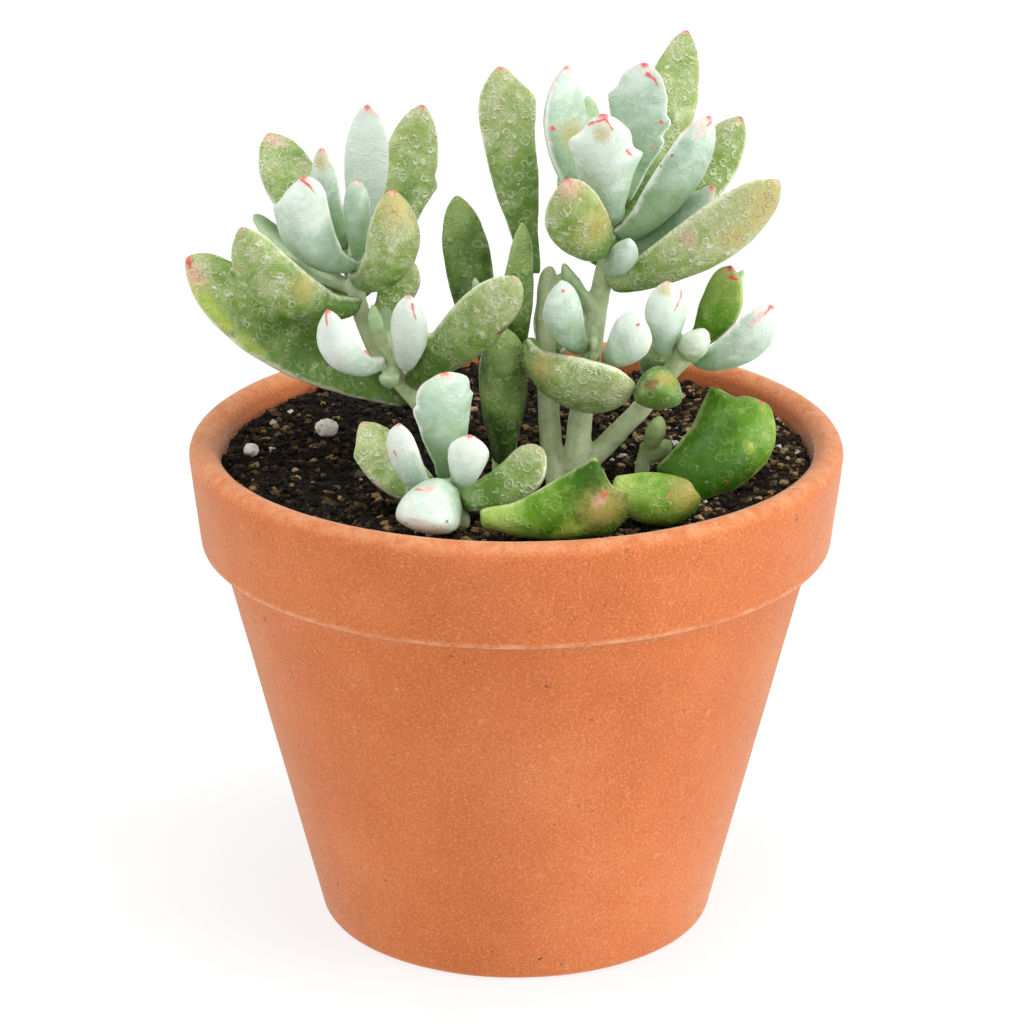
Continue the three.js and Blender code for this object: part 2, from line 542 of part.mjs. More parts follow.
const group = new THREE.Group();
addMesh(group, "pot", latheBody(potProfile, potSegments), materials.terracotta);
addMesh(group, "soil", toGeometry(soil), materials.soil);
addMesh(group, "left_stem",
  leafyStem("left", [stemGeometry(stems.left, 16), stemGeometry(stems.leftShoot, 6)]), materials.stem);
addMesh(group, "centre_stem", leafyStem("centre", [stemGeometry(stems.centre, 8)]), materials.stem);
addMesh(group, "front_stem", stemGeometry(stems.front, 8), materials.stem);
addMesh(group, "right_stem",
  leafyStem("right", [stemGeometry(stems.armA, 12), stemGeometry(stems.armB, 14),
    stemGeometry(stems.armC, 12), stemGeometry(stems.shootT, 6)]), materials.stem);
addMesh(group, "sprout", leafyStem("sprout", [stemGeometry(stems.sprout, 6)]), materials.bright);
for (const grain of looseGrains) {
  addMesh(group, grain.name, looseGrainGeometry(grain), materials.perlite);
}
for (const leaf of leaves) {
  addMesh(group, leaf.name, leafGeometry(leaf), materials[leaf.finish]);
}

export default group;
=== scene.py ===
import json
import math
import random

import bmesh
import bpy
from mathutils import Matrix, Vector, noise
from mathutils.bvhtree import BVHTree

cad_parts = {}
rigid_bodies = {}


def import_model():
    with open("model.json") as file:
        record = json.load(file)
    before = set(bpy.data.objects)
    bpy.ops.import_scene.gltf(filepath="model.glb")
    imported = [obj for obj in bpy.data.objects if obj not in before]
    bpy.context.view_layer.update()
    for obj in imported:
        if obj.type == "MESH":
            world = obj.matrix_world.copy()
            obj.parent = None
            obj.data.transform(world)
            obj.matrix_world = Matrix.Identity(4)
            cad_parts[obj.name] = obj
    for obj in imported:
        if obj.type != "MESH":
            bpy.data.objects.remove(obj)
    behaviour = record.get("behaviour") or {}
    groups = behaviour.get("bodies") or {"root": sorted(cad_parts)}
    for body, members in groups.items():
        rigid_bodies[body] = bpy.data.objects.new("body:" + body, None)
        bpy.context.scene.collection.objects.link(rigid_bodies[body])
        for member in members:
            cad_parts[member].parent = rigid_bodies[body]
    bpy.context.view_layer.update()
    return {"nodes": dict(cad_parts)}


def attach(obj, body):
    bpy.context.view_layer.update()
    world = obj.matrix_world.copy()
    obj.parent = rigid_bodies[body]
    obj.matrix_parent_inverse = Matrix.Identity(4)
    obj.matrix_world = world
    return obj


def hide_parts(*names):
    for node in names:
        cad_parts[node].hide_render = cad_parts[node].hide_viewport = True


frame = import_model()
mm = 0.001


# Getting hold of pieces

def deselectEverything():
    if bpy.context.object and bpy.context.object.mode != "OBJECT":
        bpy.ops.object.mode_set(mode="OBJECT")
    bpy.ops.object.select_all(action="DESELECT")


def takeInHand(piece):
    deselectEverything()
    piece.select_set(True)
    bpy.context.view_layer.objects.active = piece


def applyModifiers(piece):
    takeInHand(piece)
    for modifier in list(piece.modifiers):
        bpy.ops.object.modifier_apply(modifier=modifier.name)


def editMesh(piece, selectMode="VERT"):
    takeInHand(piece)
    bpy.ops.object.mode_set(mode="EDIT")
    bpy.ops.mesh.select_mode(type=selectMode)


def copyOfNode(nodeName, pieceName):
    mesh = frame["nodes"][nodeName].data.copy()
    mesh.name = pieceName
    mesh.materials.clear()
    piece = bpy.data.objects.new(pieceName, mesh)
    bpy.context.scene.collection.objects.link(piece)
    editMesh(piece)
    bpy.ops.mesh.select_all(action="SELECT")
    bpy.ops.mesh.remove_doubles(threshold=0.004 * mm)
    bpy.ops.object.mode_set(mode="OBJECT")
    return piece


def joinPieces(pieces, name):
    deselectEverything()
    for piece in pieces:
        piece.select_set(True)
    bpy.context.view_layer.objects.active = pieces[0]
    bpy.ops.object.join()
    pieces[0].name = name
    return pieces[0]


def settle(piece, material, slot, *nodes, smooth=True):
    takeInHand(piece)
    if smooth:
        bpy.ops.object.shade_smooth()
    else:
        bpy.ops.object.shade_flat()
    piece.data.materials.clear()
    piece.data.materials.append(material)
    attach(piece, "root")
    if nodes:
        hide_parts(*nodes)
    return piece


def cloudTexture(name, size, depth=2):
    texture = bpy.data.textures.new(name, "CLOUDS")
    texture.noise_scale = size
    texture.noise_depth = depth
    return texture


def roughen(piece, texture, strength):
    displace = piece.modifiers.new("uneven", "DISPLACE")
    displace.texture = texture
    displace.texture_coords = "LOCAL"
    displace.mid_level = 0.5
    displace.strength = strength


def remesh(piece, voxelSize, smoothRounds):
    modifier = piece.modifiers.new("fine", "REMESH")
    modifier.mode = "VOXEL"
    modifier.voxel_size = voxelSize
    soften(piece, smoothRounds)


def soften(piece, rounds):
    smooth = piece.modifiers.new("soft", "SMOOTH")
    smooth.factor = 0.5
    smooth.iterations = rounds


def writeAttribute(mesh, name, values):
    layer = mesh.attributes.get(name) or mesh.attributes.new(name, "FLOAT", "POINT")
    layer.data.foreach_set("value", values)


def readAttribute(mesh, name):
    values = [0.0] * len(mesh.vertices)
    mesh.attributes[name].data.foreach_get("value", values)
    return values


def smoothStep(low, high, value):
    share = min(max((value - low) / (high - low), 0.0), 1.0)
    return share * share * (3 - 2 * share)


def distanceToLine(point, line):
    # How far the point is from the line, and how far along the line that is, from 0 to 1
    best, place = (point - Vector(line[0])).length, 0
    for step, (start, end) in enumerate(zip(line, line[1:])):
        start, end = Vector(start), Vector(end)
        share = min(max((point - start).dot(end - start) / (end - start).length_squared, 0), 1)
        away = (point - start.lerp(end, share)).length
        if away < best:
            best, place = away, (step + share) / (len(line) - 1)
    return best, place


# Material building

def newMaterial(name):
    material = bpy.data.materials.new(name)
    material.use_nodes = True
    tree = material.node_tree
    return material, tree, tree.nodes["Principled BSDF"]


def noiseAt(tree, size, detail=2.0, roughness=0.5, distortion=0.0):
    coordinates = tree.nodes.new("ShaderNodeTexCoord").outputs["Object"]
    node = tree.nodes.new("ShaderNodeTexNoise")
    node.inputs["Scale"].default_value = 1 / (size * mm)
    node.inputs["Detail"].default_value = detail
    node.inputs["Roughness"].default_value = roughness
    node.inputs["Distortion"].default_value = distortion
    tree.links.new(coordinates, node.inputs["Vector"])
    return node.outputs["Fac"]


def rampOf(tree, value, stops, interpolation="LINEAR"):
    node = tree.nodes.new("ShaderNodeValToRGB")
    node.color_ramp.interpolation = interpolation
    elements = node.color_ramp.elements
    while len(elements) < len(stops):
        elements.new(0.5)
    for element, (place, shade) in zip(elements, stops):
        element.position = place
        element.color = (*shade, 1) if isinstance(shade, tuple) else (shade, shade, shade, 1)
    tree.links.new(value, node.inputs["Fac"])
    return node.outputs["Color"]


def fillSocket(tree, socket, value):
    if isinstance(value, bpy.types.NodeSocket):
        tree.links.new(value, socket)
    elif isinstance(value, tuple):
        socket.default_value = (*value, 1)
    else:
        socket.default_value = value


def mixColours(tree, share, first, second):
    node = tree.nodes.new("ShaderNodeMix")
    node.data_type = "RGBA"
    fillSocket(tree, node.inputs[0], share)
    fillSocket(tree, node.inputs[6], first)
    fillSocket(tree, node.inputs[7], second)
    return node.outputs[2]


def calculate(tree, operation, *values):
    node = tree.nodes.new("ShaderNodeMath")
    node.operation = operation
    for socket, value in zip(node.inputs, values):
        fillSocket(tree, socket, value)
    return node.outputs[0]


def between(tree, value, low, high, fromValue=0.0, toValue=1.0):
    node = tree.nodes.new("ShaderNodeMapRange")
    node.interpolation_type = "SMOOTHSTEP"
    fillSocket(tree, node.inputs["Value"], value)
    node.inputs["From Min"].default_value = low
    node.inputs["From Max"].default_value = high
    node.inputs["To Min"].default_value = fromValue
    node.inputs["To Max"].default_value = toValue
    return node.outputs["Result"]


def attributeOf(tree, name):
    node = tree.nodes.new("ShaderNodeAttribute")
    node.attribute_name = name
    return node.outputs["Fac"]


def bumpFrom(tree, shader, height, distance, strength=1.0):
    node = tree.nodes.new("ShaderNodeBump")
    node.inputs["Distance"].default_value = distance
    node.inputs["Strength"].default_value = strength
    tree.links.new(height, node.inputs["Height"])
    tree.links.new(node.outputs["Normal"], shader.inputs["Normal"])


# Camera, floor and light

stageSetup = {
    "cameraPlace": (-0.000694, -0.636, 0.30168), "lookDown": 20.1035, "lens": 145.78,
    "floorTones": [(0.3, 0.20), (0.7, 0.22)], "floorGlow": 0.78, "roomLight": 0.52,
}

# Where each soft light comes from, how strong it is and how wide
lamps = {
    "right side": ((0.95, -0.28, 0.22), 2.1, 40),
    "left side": ((-0.95, -0.05, 0.3), 0.9, 50),
    "overhead": ((0.15, -0.15, 1.0), 1.6, 32),
    "front": ((0.25, -1.0, 0.5), 0.3, 50),
}


def setStage():
    bpy.context.scene.view_settings.view_transform = "Standard"
    tilt = math.radians(90 - stageSetup["lookDown"])
    bpy.ops.object.camera_add(location=stageSetup["cameraPlace"], rotation=(tilt, 0, 0))
    camera = bpy.context.object
    camera.data.lens = stageSetup["lens"]
    camera.data.sensor_width = 36
    camera.data.clip_start = 0.01
    bpy.context.scene.camera = camera

    deselectEverything()
    bpy.ops.mesh.primitive_plane_add(size=6, location=(0, 0, 0))
    floor = bpy.context.object
    floor.name = "floor"
    material, tree, shader = newMaterial("pale floor")
    colour = rampOf(tree, noiseAt(tree, 30, detail=3), stageSetup["floorTones"])
    tree.links.new(colour, shader.inputs["Base Color"])
    shader.inputs["Roughness"].default_value = 0.9
    # The floor is a light table, so shadows stay faint
    shader.inputs["Emission Color"].default_value = (1, 1, 1, 1)
    shader.inputs["Emission Strength"].default_value = stageSetup["floorGlow"]
    floor.data.materials.append(material)

    world = bpy.data.worlds.new("soft room")
    world.use_nodes = True
    background = world.node_tree.nodes["Background"]
    background.inputs["Color"].default_value = (1, 1, 1, 1)
    background.inputs["Strength"].default_value = stageSetup["roomLight"]
    bpy.context.scene.world = world
    for name, (place, strength, width) in lamps.items():
        bpy.ops.object.light_add(type="SUN", location=place)
        lamp = bpy.context.object
        lamp.name = name
        lamp.data.energy = strength
        lamp.data.angle = math.radians(width)
        lamp.rotation_euler = (-Vector(place)).to_track_quat("-Z", "Y").to_euler()


setStage()
print("stage set")


# Pot

potShape = {
    "height": 82.5, "rimRadius": 53.0, "lip": 4.8,
    "bandBottom": 65.2, "bandRadius": 51.4, "bodyTop": 48.4, "base": 32.6,
    "corner": 1.8, "bandEdge": 0.9, "wall": 4.4, "floor": 5.5, "drain": 6.0, "turns": 168,
    "thinnerAtFoot": 0.9, "innerShoulder": 3, "handThrown": (9, 0.12),
}
potClay = {
    "clay": [(0.3, (0.56, 0.146, 0.038)), (0.5, (0.62, 0.170, 0.047)), (0.72, (0.68, 0.208, 0.068))],
    "paleGrain": (0.86, 0.42, 0.22), "darkGrain": (0.42, 0.10, 0.03), "speck": (0.22, 0.07, 0.03),
    "chalk": (0.84, 0.46, 0.28), "lipDustAndHighlight": (0.86, 0.46, 0.25), "paleBandEdge": (0.84, 0.44, 0.24),
    "roughness": 0.82, "shine": 0.3, "sheen": 0.75, "sheenSpread": 0.28, "sheenTint": (1, 0.82, 0.66, 1),
}


def arcPoints(centreRadius, centreHeight, radius, start, end, steps):
    points = []
    for step in range(steps + 1):
        angle = math.radians(start + (end - start) * step / steps)
        points.append((centreRadius + radius * math.cos(angle), centreHeight + radius * math.sin(angle)))
    return points


def straightPoints(start, end, steps):
    # Leaves out both ends
    wide, high = end[0] - start[0], end[1] - start[1]
    return [(start[0] + wide * step / steps, start[1] + high * step / steps) for step in range(1, steps)]


def potProfile():
    shape = potShape
    lip = shape["lip"] / 2
    corner = shape["corner"]
    foot = arcPoints(shape["base"] - corner, corner, corner, -90, -10, 6)
    shoulder = (shape["bodyTop"], shape["bandBottom"])
    edge = shape["bandEdge"]
    bandCorner = arcPoints(shape["bandRadius"] - edge, shape["bandBottom"] + edge, edge, -90, 0, 5)
    rim = arcPoints(shape["rimRadius"] - lip, shape["height"] - lip, lip, 0, 180, 14)
    inner = shape["rimRadius"] - shape["lip"]
    innerTop = shape["bodyTop"] - shape["wall"]
    innerBase = shape["base"] - shape["wall"] + shape["thinnerAtFoot"]
    profile = [(shape["drain"], 0)] + straightPoints((shape["drain"], 0), foot[0], 4) + foot
    profile += straightPoints(foot[-1], shoulder, 22) + [shoulder]
    profile += bandCorner + straightPoints(bandCorner[-1], rim[0], 6) + rim
    profile += [(inner, shape["bandBottom"] + shape["innerShoulder"]),
                (innerTop, shape["bandBottom"] - shape["innerShoulder"]),
                (innerBase, shape["floor"]), (shape["drain"], shape["floor"])]
    return profile


def makePot():
    profile = potProfile()
    deselectEverything()
    radius, height = profile[0]
    bpy.ops.mesh.primitive_circle_add(
        vertices=potShape["turns"], radius=radius * mm, location=(0, 0, height * mm))
    pot = bpy.context.object
    pot.name = "terracotta_pot"
    bpy.ops.object.transform_apply(location=True, rotation=True, scale=True)
    editMesh(pot, "EDGE")
    bpy.ops.mesh.select_all(action="SELECT")
    for nextRadius, nextHeight in profile[1:] + profile[:1]:
        bpy.ops.mesh.extrude_edges_move(
            TRANSFORM_OT_translate={"value": (0, 0, (nextHeight - height) * mm)})
        grow = nextRadius / radius
        if abs(grow - 1) > 1e-9:
            bpy.ops.transform.resize(value=(grow, grow, 1))
        radius, height = nextRadius, nextHeight
    bpy.ops.mesh.select_all(action="SELECT")
    bpy.ops.mesh.remove_doubles(threshold=0.02 * mm)
    bpy.ops.mesh.normals_make_consistent(inside=False)
    bpy.ops.object.mode_set(mode="OBJECT")
    size, strength = potShape["handThrown"]
    roughen(pot, cloudTexture("thrown clay", size * mm), strength * mm)
    applyModifiers(pot)
    return pot


def terracottaMaterial():
    material, tree, shader = newMaterial("terracotta")
    broad = noiseAt(tree, 26, detail=3, roughness=0.6)
    colour = rampOf(tree, broad, potClay["clay"])
    grains = noiseAt(tree, 0.38, detail=3, roughness=0.7)
    colour = mixColours(tree, between(tree, grains, 0.5, 0.72, 0, 0.45), colour, potClay["paleGrain"])
    colour = mixColours(tree, between(tree, grains, 0.5, 0.3, 0, 0.55), colour, potClay["darkGrain"])
    specks = noiseAt(tree, 1.7, detail=2, roughness=0.6)
    colour = mixColours(tree, between(tree, specks, 0.73, 0.78), colour, potClay["speck"])
    chalk = noiseAt(tree, 2.4, detail=3, roughness=0.65)
    colour = mixColours(tree, between(tree, chalk, 0.62, 0.78, 0, 0.3), colour, potClay["chalk"])

    # The top of the lip is paler, partly dust and partly a painted highlight along its top edge, and the
    # band's lower edge has a thin pale line
    split = tree.nodes.new("ShaderNodeSeparateXYZ")
    tree.links.new(tree.nodes.new("ShaderNodeTexCoord").outputs["Object"], split.inputs["Vector"])
    level = split.outputs["Z"]
    lipZ = potShape["height"] * mm
    # dust and a painted highlight: the top 2 mm of the lip is mixed towards a pale colour
    dustAndHighlight = calculate(tree, "MULTIPLY", between(tree, level, lipZ - 2 * mm, lipZ - 0.2 * mm),
                      between(tree, chalk, 0.3, 0.65, 0.05, 0.4))
    colour = mixColours(tree, dustAndHighlight, colour, potClay["lipDustAndHighlight"])
    edgeZ = potShape["bandBottom"] * mm
    # a thin pale line along the band's lower edge
    paleEdgeLine = calculate(tree, "MULTIPLY", between(tree, level, edgeZ - 0.1 * mm, edgeZ + 0.15 * mm),
                       between(tree, level, edgeZ + 1.3 * mm, edgeZ + 0.5 * mm))
    paleEdgeLine = calculate(tree, "MULTIPLY", paleEdgeLine, between(tree, chalk, 0.35, 0.65, 0.05, 0.6))
    colour = mixColours(tree, paleEdgeLine, colour, potClay["paleBandEdge"])
    tree.links.new(colour, shader.inputs["Base Color"])

    shader.inputs["Roughness"].default_value = potClay["roughness"]
    shader.inputs["Specular IOR Level"].default_value = potClay["shine"]
    shader.inputs["Sheen Weight"].default_value = potClay["sheen"]
    shader.inputs["Sheen Roughness"].default_value = potClay["sheenSpread"]
    shader.inputs["Sheen Tint"].default_value = potClay["sheenTint"]
    pits = between(tree, specks, 0.78, 0.6, -1, 0.2)
    height = calculate(tree, "ADD", grains, pits)
    bumpFrom(tree, shader, height, 0.22 * mm, 0.7)
    return material


settle(makePot(), terracottaMaterial(), "terracotta", "pot")
print("pot done")


# Potting mix

mixLooks = {
    "crumbs": 7600, "grit": 3600, "seed": 11, "crumbSize": (0.2, 0.85), "gritSize": (0.14, 0.8),
    "reach": 47.4, "lowest": 76.5, "bedCell": 0.9, "bigLumps": (3.2, 0.9), "smallLumps": (1.1, 0.5),
    "poreSize": 0.9, "pores": 0.5, "grainShapes": 8, "grainUneven": 0.85, "grainPlain": 0.3,
    "creviceShade": (0.008, 0.005, 0.003), "fibre": (0.16, 0.10, 0.06),
}


def leavesTree():
    points, faces = [], []
    for name, node in frame["nodes"].items():
        if name not in ("pot", "soil"):
            start = len(points)
            points += [vertex.co.copy() for vertex in node.data.vertices]
            faces += [tuple(start + i for i in face.vertices) for face in node.data.polygons]
    return BVHTree.FromPolygons(points, faces)


def treeOf(piece):
    return BVHTree.FromPolygons([vertex.co.copy() for vertex in piece.data.vertices],
                                [tuple(face.vertices) for face in piece.data.polygons])


def makeSoilBed():
    bed = copyOfNode("soil", "potting_mix")
    remesh(bed, mixLooks["bedCell"] * mm, 1)
    for name, depth in (("bigLumps", 3), ("smallLumps", 2)):
        size, strength = mixLooks[name]
        roughen(bed, cloudTexture(name, size * mm, depth), strength * mm)
    applyModifiers(bed)
    return bed


def crumbShapes():
    shapes = []
    for i in range(mixLooks["grainShapes"]):
        deselectEverything()
        bpy.ops.mesh.primitive_ico_sphere_add(subdivisions=2, radius=1, location=(0, 0, 0))
        grain = bpy.context.object
        grain.name = f"crumb_{i}"
        for vertex in grain.data.vertices:
            swell = noise.noise(vertex.co * 1.9 + Vector((7.3 * i, 2.1, 5.7)))
            vertex.co *= 1 + mixLooks["grainUneven"] * swell
        plainer = grain.modifiers.new("plainer", "DECIMATE")
        plainer.ratio = mixLooks["grainPlain"]
        applyModifiers(grain)
        shapes.append(grain)
    return shapes


def evenly(x, y):
    return 1


def thickerAtRight(x, y):
    return 0.3 + 0.7 * smoothStep(-25, 30, x - 0.5 * y)


def scatterGrains(name, shapes, count, sizes, lay, chance, bedTree, plantTree):
    batches, grains = [], []
    made = 0
    while made < count:
        angle = chance.uniform(0, 2 * math.pi)
        reach = mixLooks["reach"] * math.sqrt(chance.random())
        above = Vector((reach * math.cos(angle) * mm, reach * math.sin(angle) * mm, 0.1))
        size = (sizes[0] + (sizes[1] - sizes[0]) * chance.random() ** 2.2) * mm
        turn = [chance.uniform(0, 6.28) for _ in range(3)]
        stretch = [chance.uniform(0.75, 1.25), chance.uniform(0.75, 1.25), chance.uniform(0.55, 0.85)]
        shape = chance.randrange(len(shapes))
        tone = chance.random()
        down = bedTree.ray_cast(above, Vector((0, 0, -1)))[0]
        if down is None or down.z < mixLooks["lowest"] * mm:
            continue
        if reach * mm + size > mixLooks["reach"] * mm:
            continue
        nearest = plantTree.find_nearest(down + Vector((0, 0, 0.4 * size)))
        if nearest[3] < 1.5 * size or chance.random() > lay(down.x / mm, down.y / mm):
            continue  # no room, or a spot that is left bare
        mesh = shapes[shape].data.copy()
        spin = Matrix.Rotation(turn[2], 4, "Z") @ Matrix.Rotation(turn[0], 4, "X")
        spin = Matrix.Diagonal((1, 1, stretch[2], 1)) @ spin @ Matrix.Diagonal((*stretch[:2], 1, 1))
        seat = Matrix.Translation(down + Vector((0, 0, 0.3 * size)))
        mesh.transform(seat @ spin @ Matrix.Scale(size, 4))
        writeAttribute(mesh, "tone", [tone] * len(mesh.vertices))
        grain = bpy.data.objects.new(f"{name}_{made}", mesh)
        bpy.context.scene.collection.objects.link(grain)
        grains.append(grain)
        made += 1
        # Joined in batches, because one large join is slow
        if len(grains) == 500 or made == count:
            batches.append(joinPieces(grains, f"{name}_batch_{len(batches)}"))
            grains = []
    return joinPieces(batches, name)


def soilMaterial(name, stops):
    material, tree, shader = newMaterial(name)
    tone = attributeOf(tree, "tone")
    colour = rampOf(tree, tone, stops, "CONSTANT")
    # painted shade: near-black patches, placed by noise, darken the grains as if shaded in the gaps
    # between them
    patches = noiseAt(tree, 1.2, detail=4, roughness=0.7)
    colour = mixColours(tree, between(tree, patches, 0.55, 0.3, 0, 0.6), colour, mixLooks["creviceShade"])
    fibres = noiseAt(tree, 0.5, detail=3, roughness=0.7)
    colour = mixColours(tree, between(tree, fibres, 0.6, 0.8, 0, 0.4), colour, mixLooks["fibre"])
    tree.links.new(colour, shader.inputs["Base Color"])
    shader.inputs["Roughness"].default_value = 0.92
    shader.inputs["Specular IOR Level"].default_value = 0.2
    bumpFrom(tree, shader, fibres, 0.15 * mm, 0.8)
    return material


# Colours by each grain's own tone
mixStops = [
    (0.0, (0.005, 0.0035, 0.002)), (0.35, (0.010, 0.007, 0.004)), (0.6, (0.020, 0.013, 0.007)),
    (0.8, (0.045, 0.029, 0.015)), (0.93, (0.09, 0.055, 0.026))]
gritStops = [
    (0.0, (0.055, 0.032, 0.015)), (0.28, (0.13, 0.075, 0.032)), (0.52, (0.27, 0.165, 0.065)),
    (0.72, (0.12, 0.088, 0.052)), (0.84, (0.42, 0.30, 0.15)), (0.955, (0.70, 0.64, 0.52))]
perliteStops = [(0.0, (0.70, 0.66, 0.58)), (0.5, (0.84, 0.81, 0.74))]


def makeMix():
    chance = random.Random(mixLooks["seed"])
    bed = makeSoilBed()
    bedTree = treeOf(bed)
    plantTree = leavesTree()
    darkMix = soilMaterial("potting mix", mixStops)
    writeAttribute(bed.data, "tone", [0.1] * len(bed.data.vertices))
    settle(bed, darkMix, "soil", "soil")
    shapes = crumbShapes()
    crumbs = scatterGrains("soil_crumbs", shapes, mixLooks["crumbs"], mixLooks["crumbSize"],
                           evenly, chance, bedTree, plantTree)
    settle(crumbs, darkMix, "soil", smooth=False)
    grit = scatterGrains("soil_grit", shapes, mixLooks["grit"], mixLooks["gritSize"],
                         thickerAtRight, chance, bedTree, plantTree)
    settle(grit, soilMaterial("grit", gritStops), "soil", smooth=False)
    for shape in shapes:
        bpy.data.objects.remove(shape)
    perlite = soilMaterial("perlite", perliteStops)
    for node in ("perlite_grain", "perlite_grain_left", "perlite_grain_right"):
        grain = copyOfNode(node, node + "_white")
        subdivision = grain.modifiers.new("finer", "SUBSURF")
        subdivision.levels = subdivision.render_levels = 2
        pores = cloudTexture("pores " + node, mixLooks["poreSize"] * mm, 3)
        roughen(grain, pores, mixLooks["pores"] * mm)
        applyModifiers(grain)
        writeAttribute(grain.data, "tone", [0.7] * len(grain.data.vertices))
        settle(grain, perlite, "perlite", node)


makeMix()
print("potting mix done")


# Leaves

leafLooks = {
    "mature": {
        "low": (0.11, 0.225, 0.024), "mid": (0.29, 0.41, 0.10), "high": (0.53, 0.56, 0.27),
        "bloom": (0.74, 0.79, 0.56), "bloomShare": 0.5,
        "marginAndRimLight": (0.78, 0.80, 0.58), "marginAndRimShare": 0.8,
        "ridge": 0.5, "hollowShade": 0.4, "relief": 1.3, "roughness": 0.34, "sheen": 0.05, "coat": 0.0,
        "shine": 0.38, "mottle": 1.5, "crease": 0.15, "edgeFlush": 0.4},
    "pale": {
        "low": (0.25, 0.40, 0.20), "mid": (0.42, 0.57, 0.43), "high": (0.70, 0.80, 0.71),
        "bloom": (0.82, 0.88, 0.81), "bloomShare": 0.6,
        "marginAndRimLight": (0.90, 0.90, 0.84), "marginAndRimShare": 0.9,
        "ridge": 0.14, "hollowShade": 0.05, "relief": 0.25, "roughness": 0.42, "sheen": 0.12, "coat": 0.0,
        "shine": 0.38, "mottle": 0.7, "crease": 0.4, "edgeFlush": 1.0},
    "dark": {
        "low": (0.035, 0.08, 0.008), "mid": (0.14, 0.245, 0.042), "high": (0.33, 0.46, 0.13),
        "bloom": (0.46, 0.58, 0.28), "bloomShare": 0.35,
        "marginAndRimLight": (0.44, 0.56, 0.24), "marginAndRimShare": 0.5,
        "ridge": 0.3, "hollowShade": 0.3, "relief": 0.8, "roughness": 0.34, "sheen": 0.03, "coat": 0.0,
        "shine": 0.38, "mottle": 1.3, "crease": 0.15, "edgeFlush": 0.3},
    "bright": {
        "low": (0.032, 0.115, 0.001), "mid": (0.12, 0.29, 0.012), "high": (0.42, 0.56, 0.13),
        "bloom": (0.58, 0.68, 0.26), "bloomShare": 0.3,
        "marginAndRimLight": (0.62, 0.70, 0.28), "marginAndRimShare": 0.5,
        "ridge": 0.14, "hollowShade": 0.2, "relief": 0.6, "roughness": 0.36, "sheen": 0.0, "coat": 0.02,
        "shine": 0.18, "mottle": 0.7, "crease": 0.35, "edgeFlush": 0.4},
}
roundLeaves = ("front_facing", "arm_round", "soil_middle")

# Each kind of mark: its colour, how strong it is, how near it starts and is full, its height in mm
leafMarks = {
    "ochre": ((0.50, 0.40, 0.12), 0.7, 0.2, 0.9, 0.0),
    "yellow": ((0.44, 0.54, 0.09), 0.65, 0.25, 0.9, 0.12),
    "pink": ((0.84, 0.44, 0.38), 0.65, 0.3, 1.0, 0.0),
    "brown": ((0.20, 0.09, 0.03), 0.85, 0.5, 0.72, 0.16),
    "red": ((0.74, 0.07, 0.08), 0.88, 0.42, 0.95, 0.05),
}
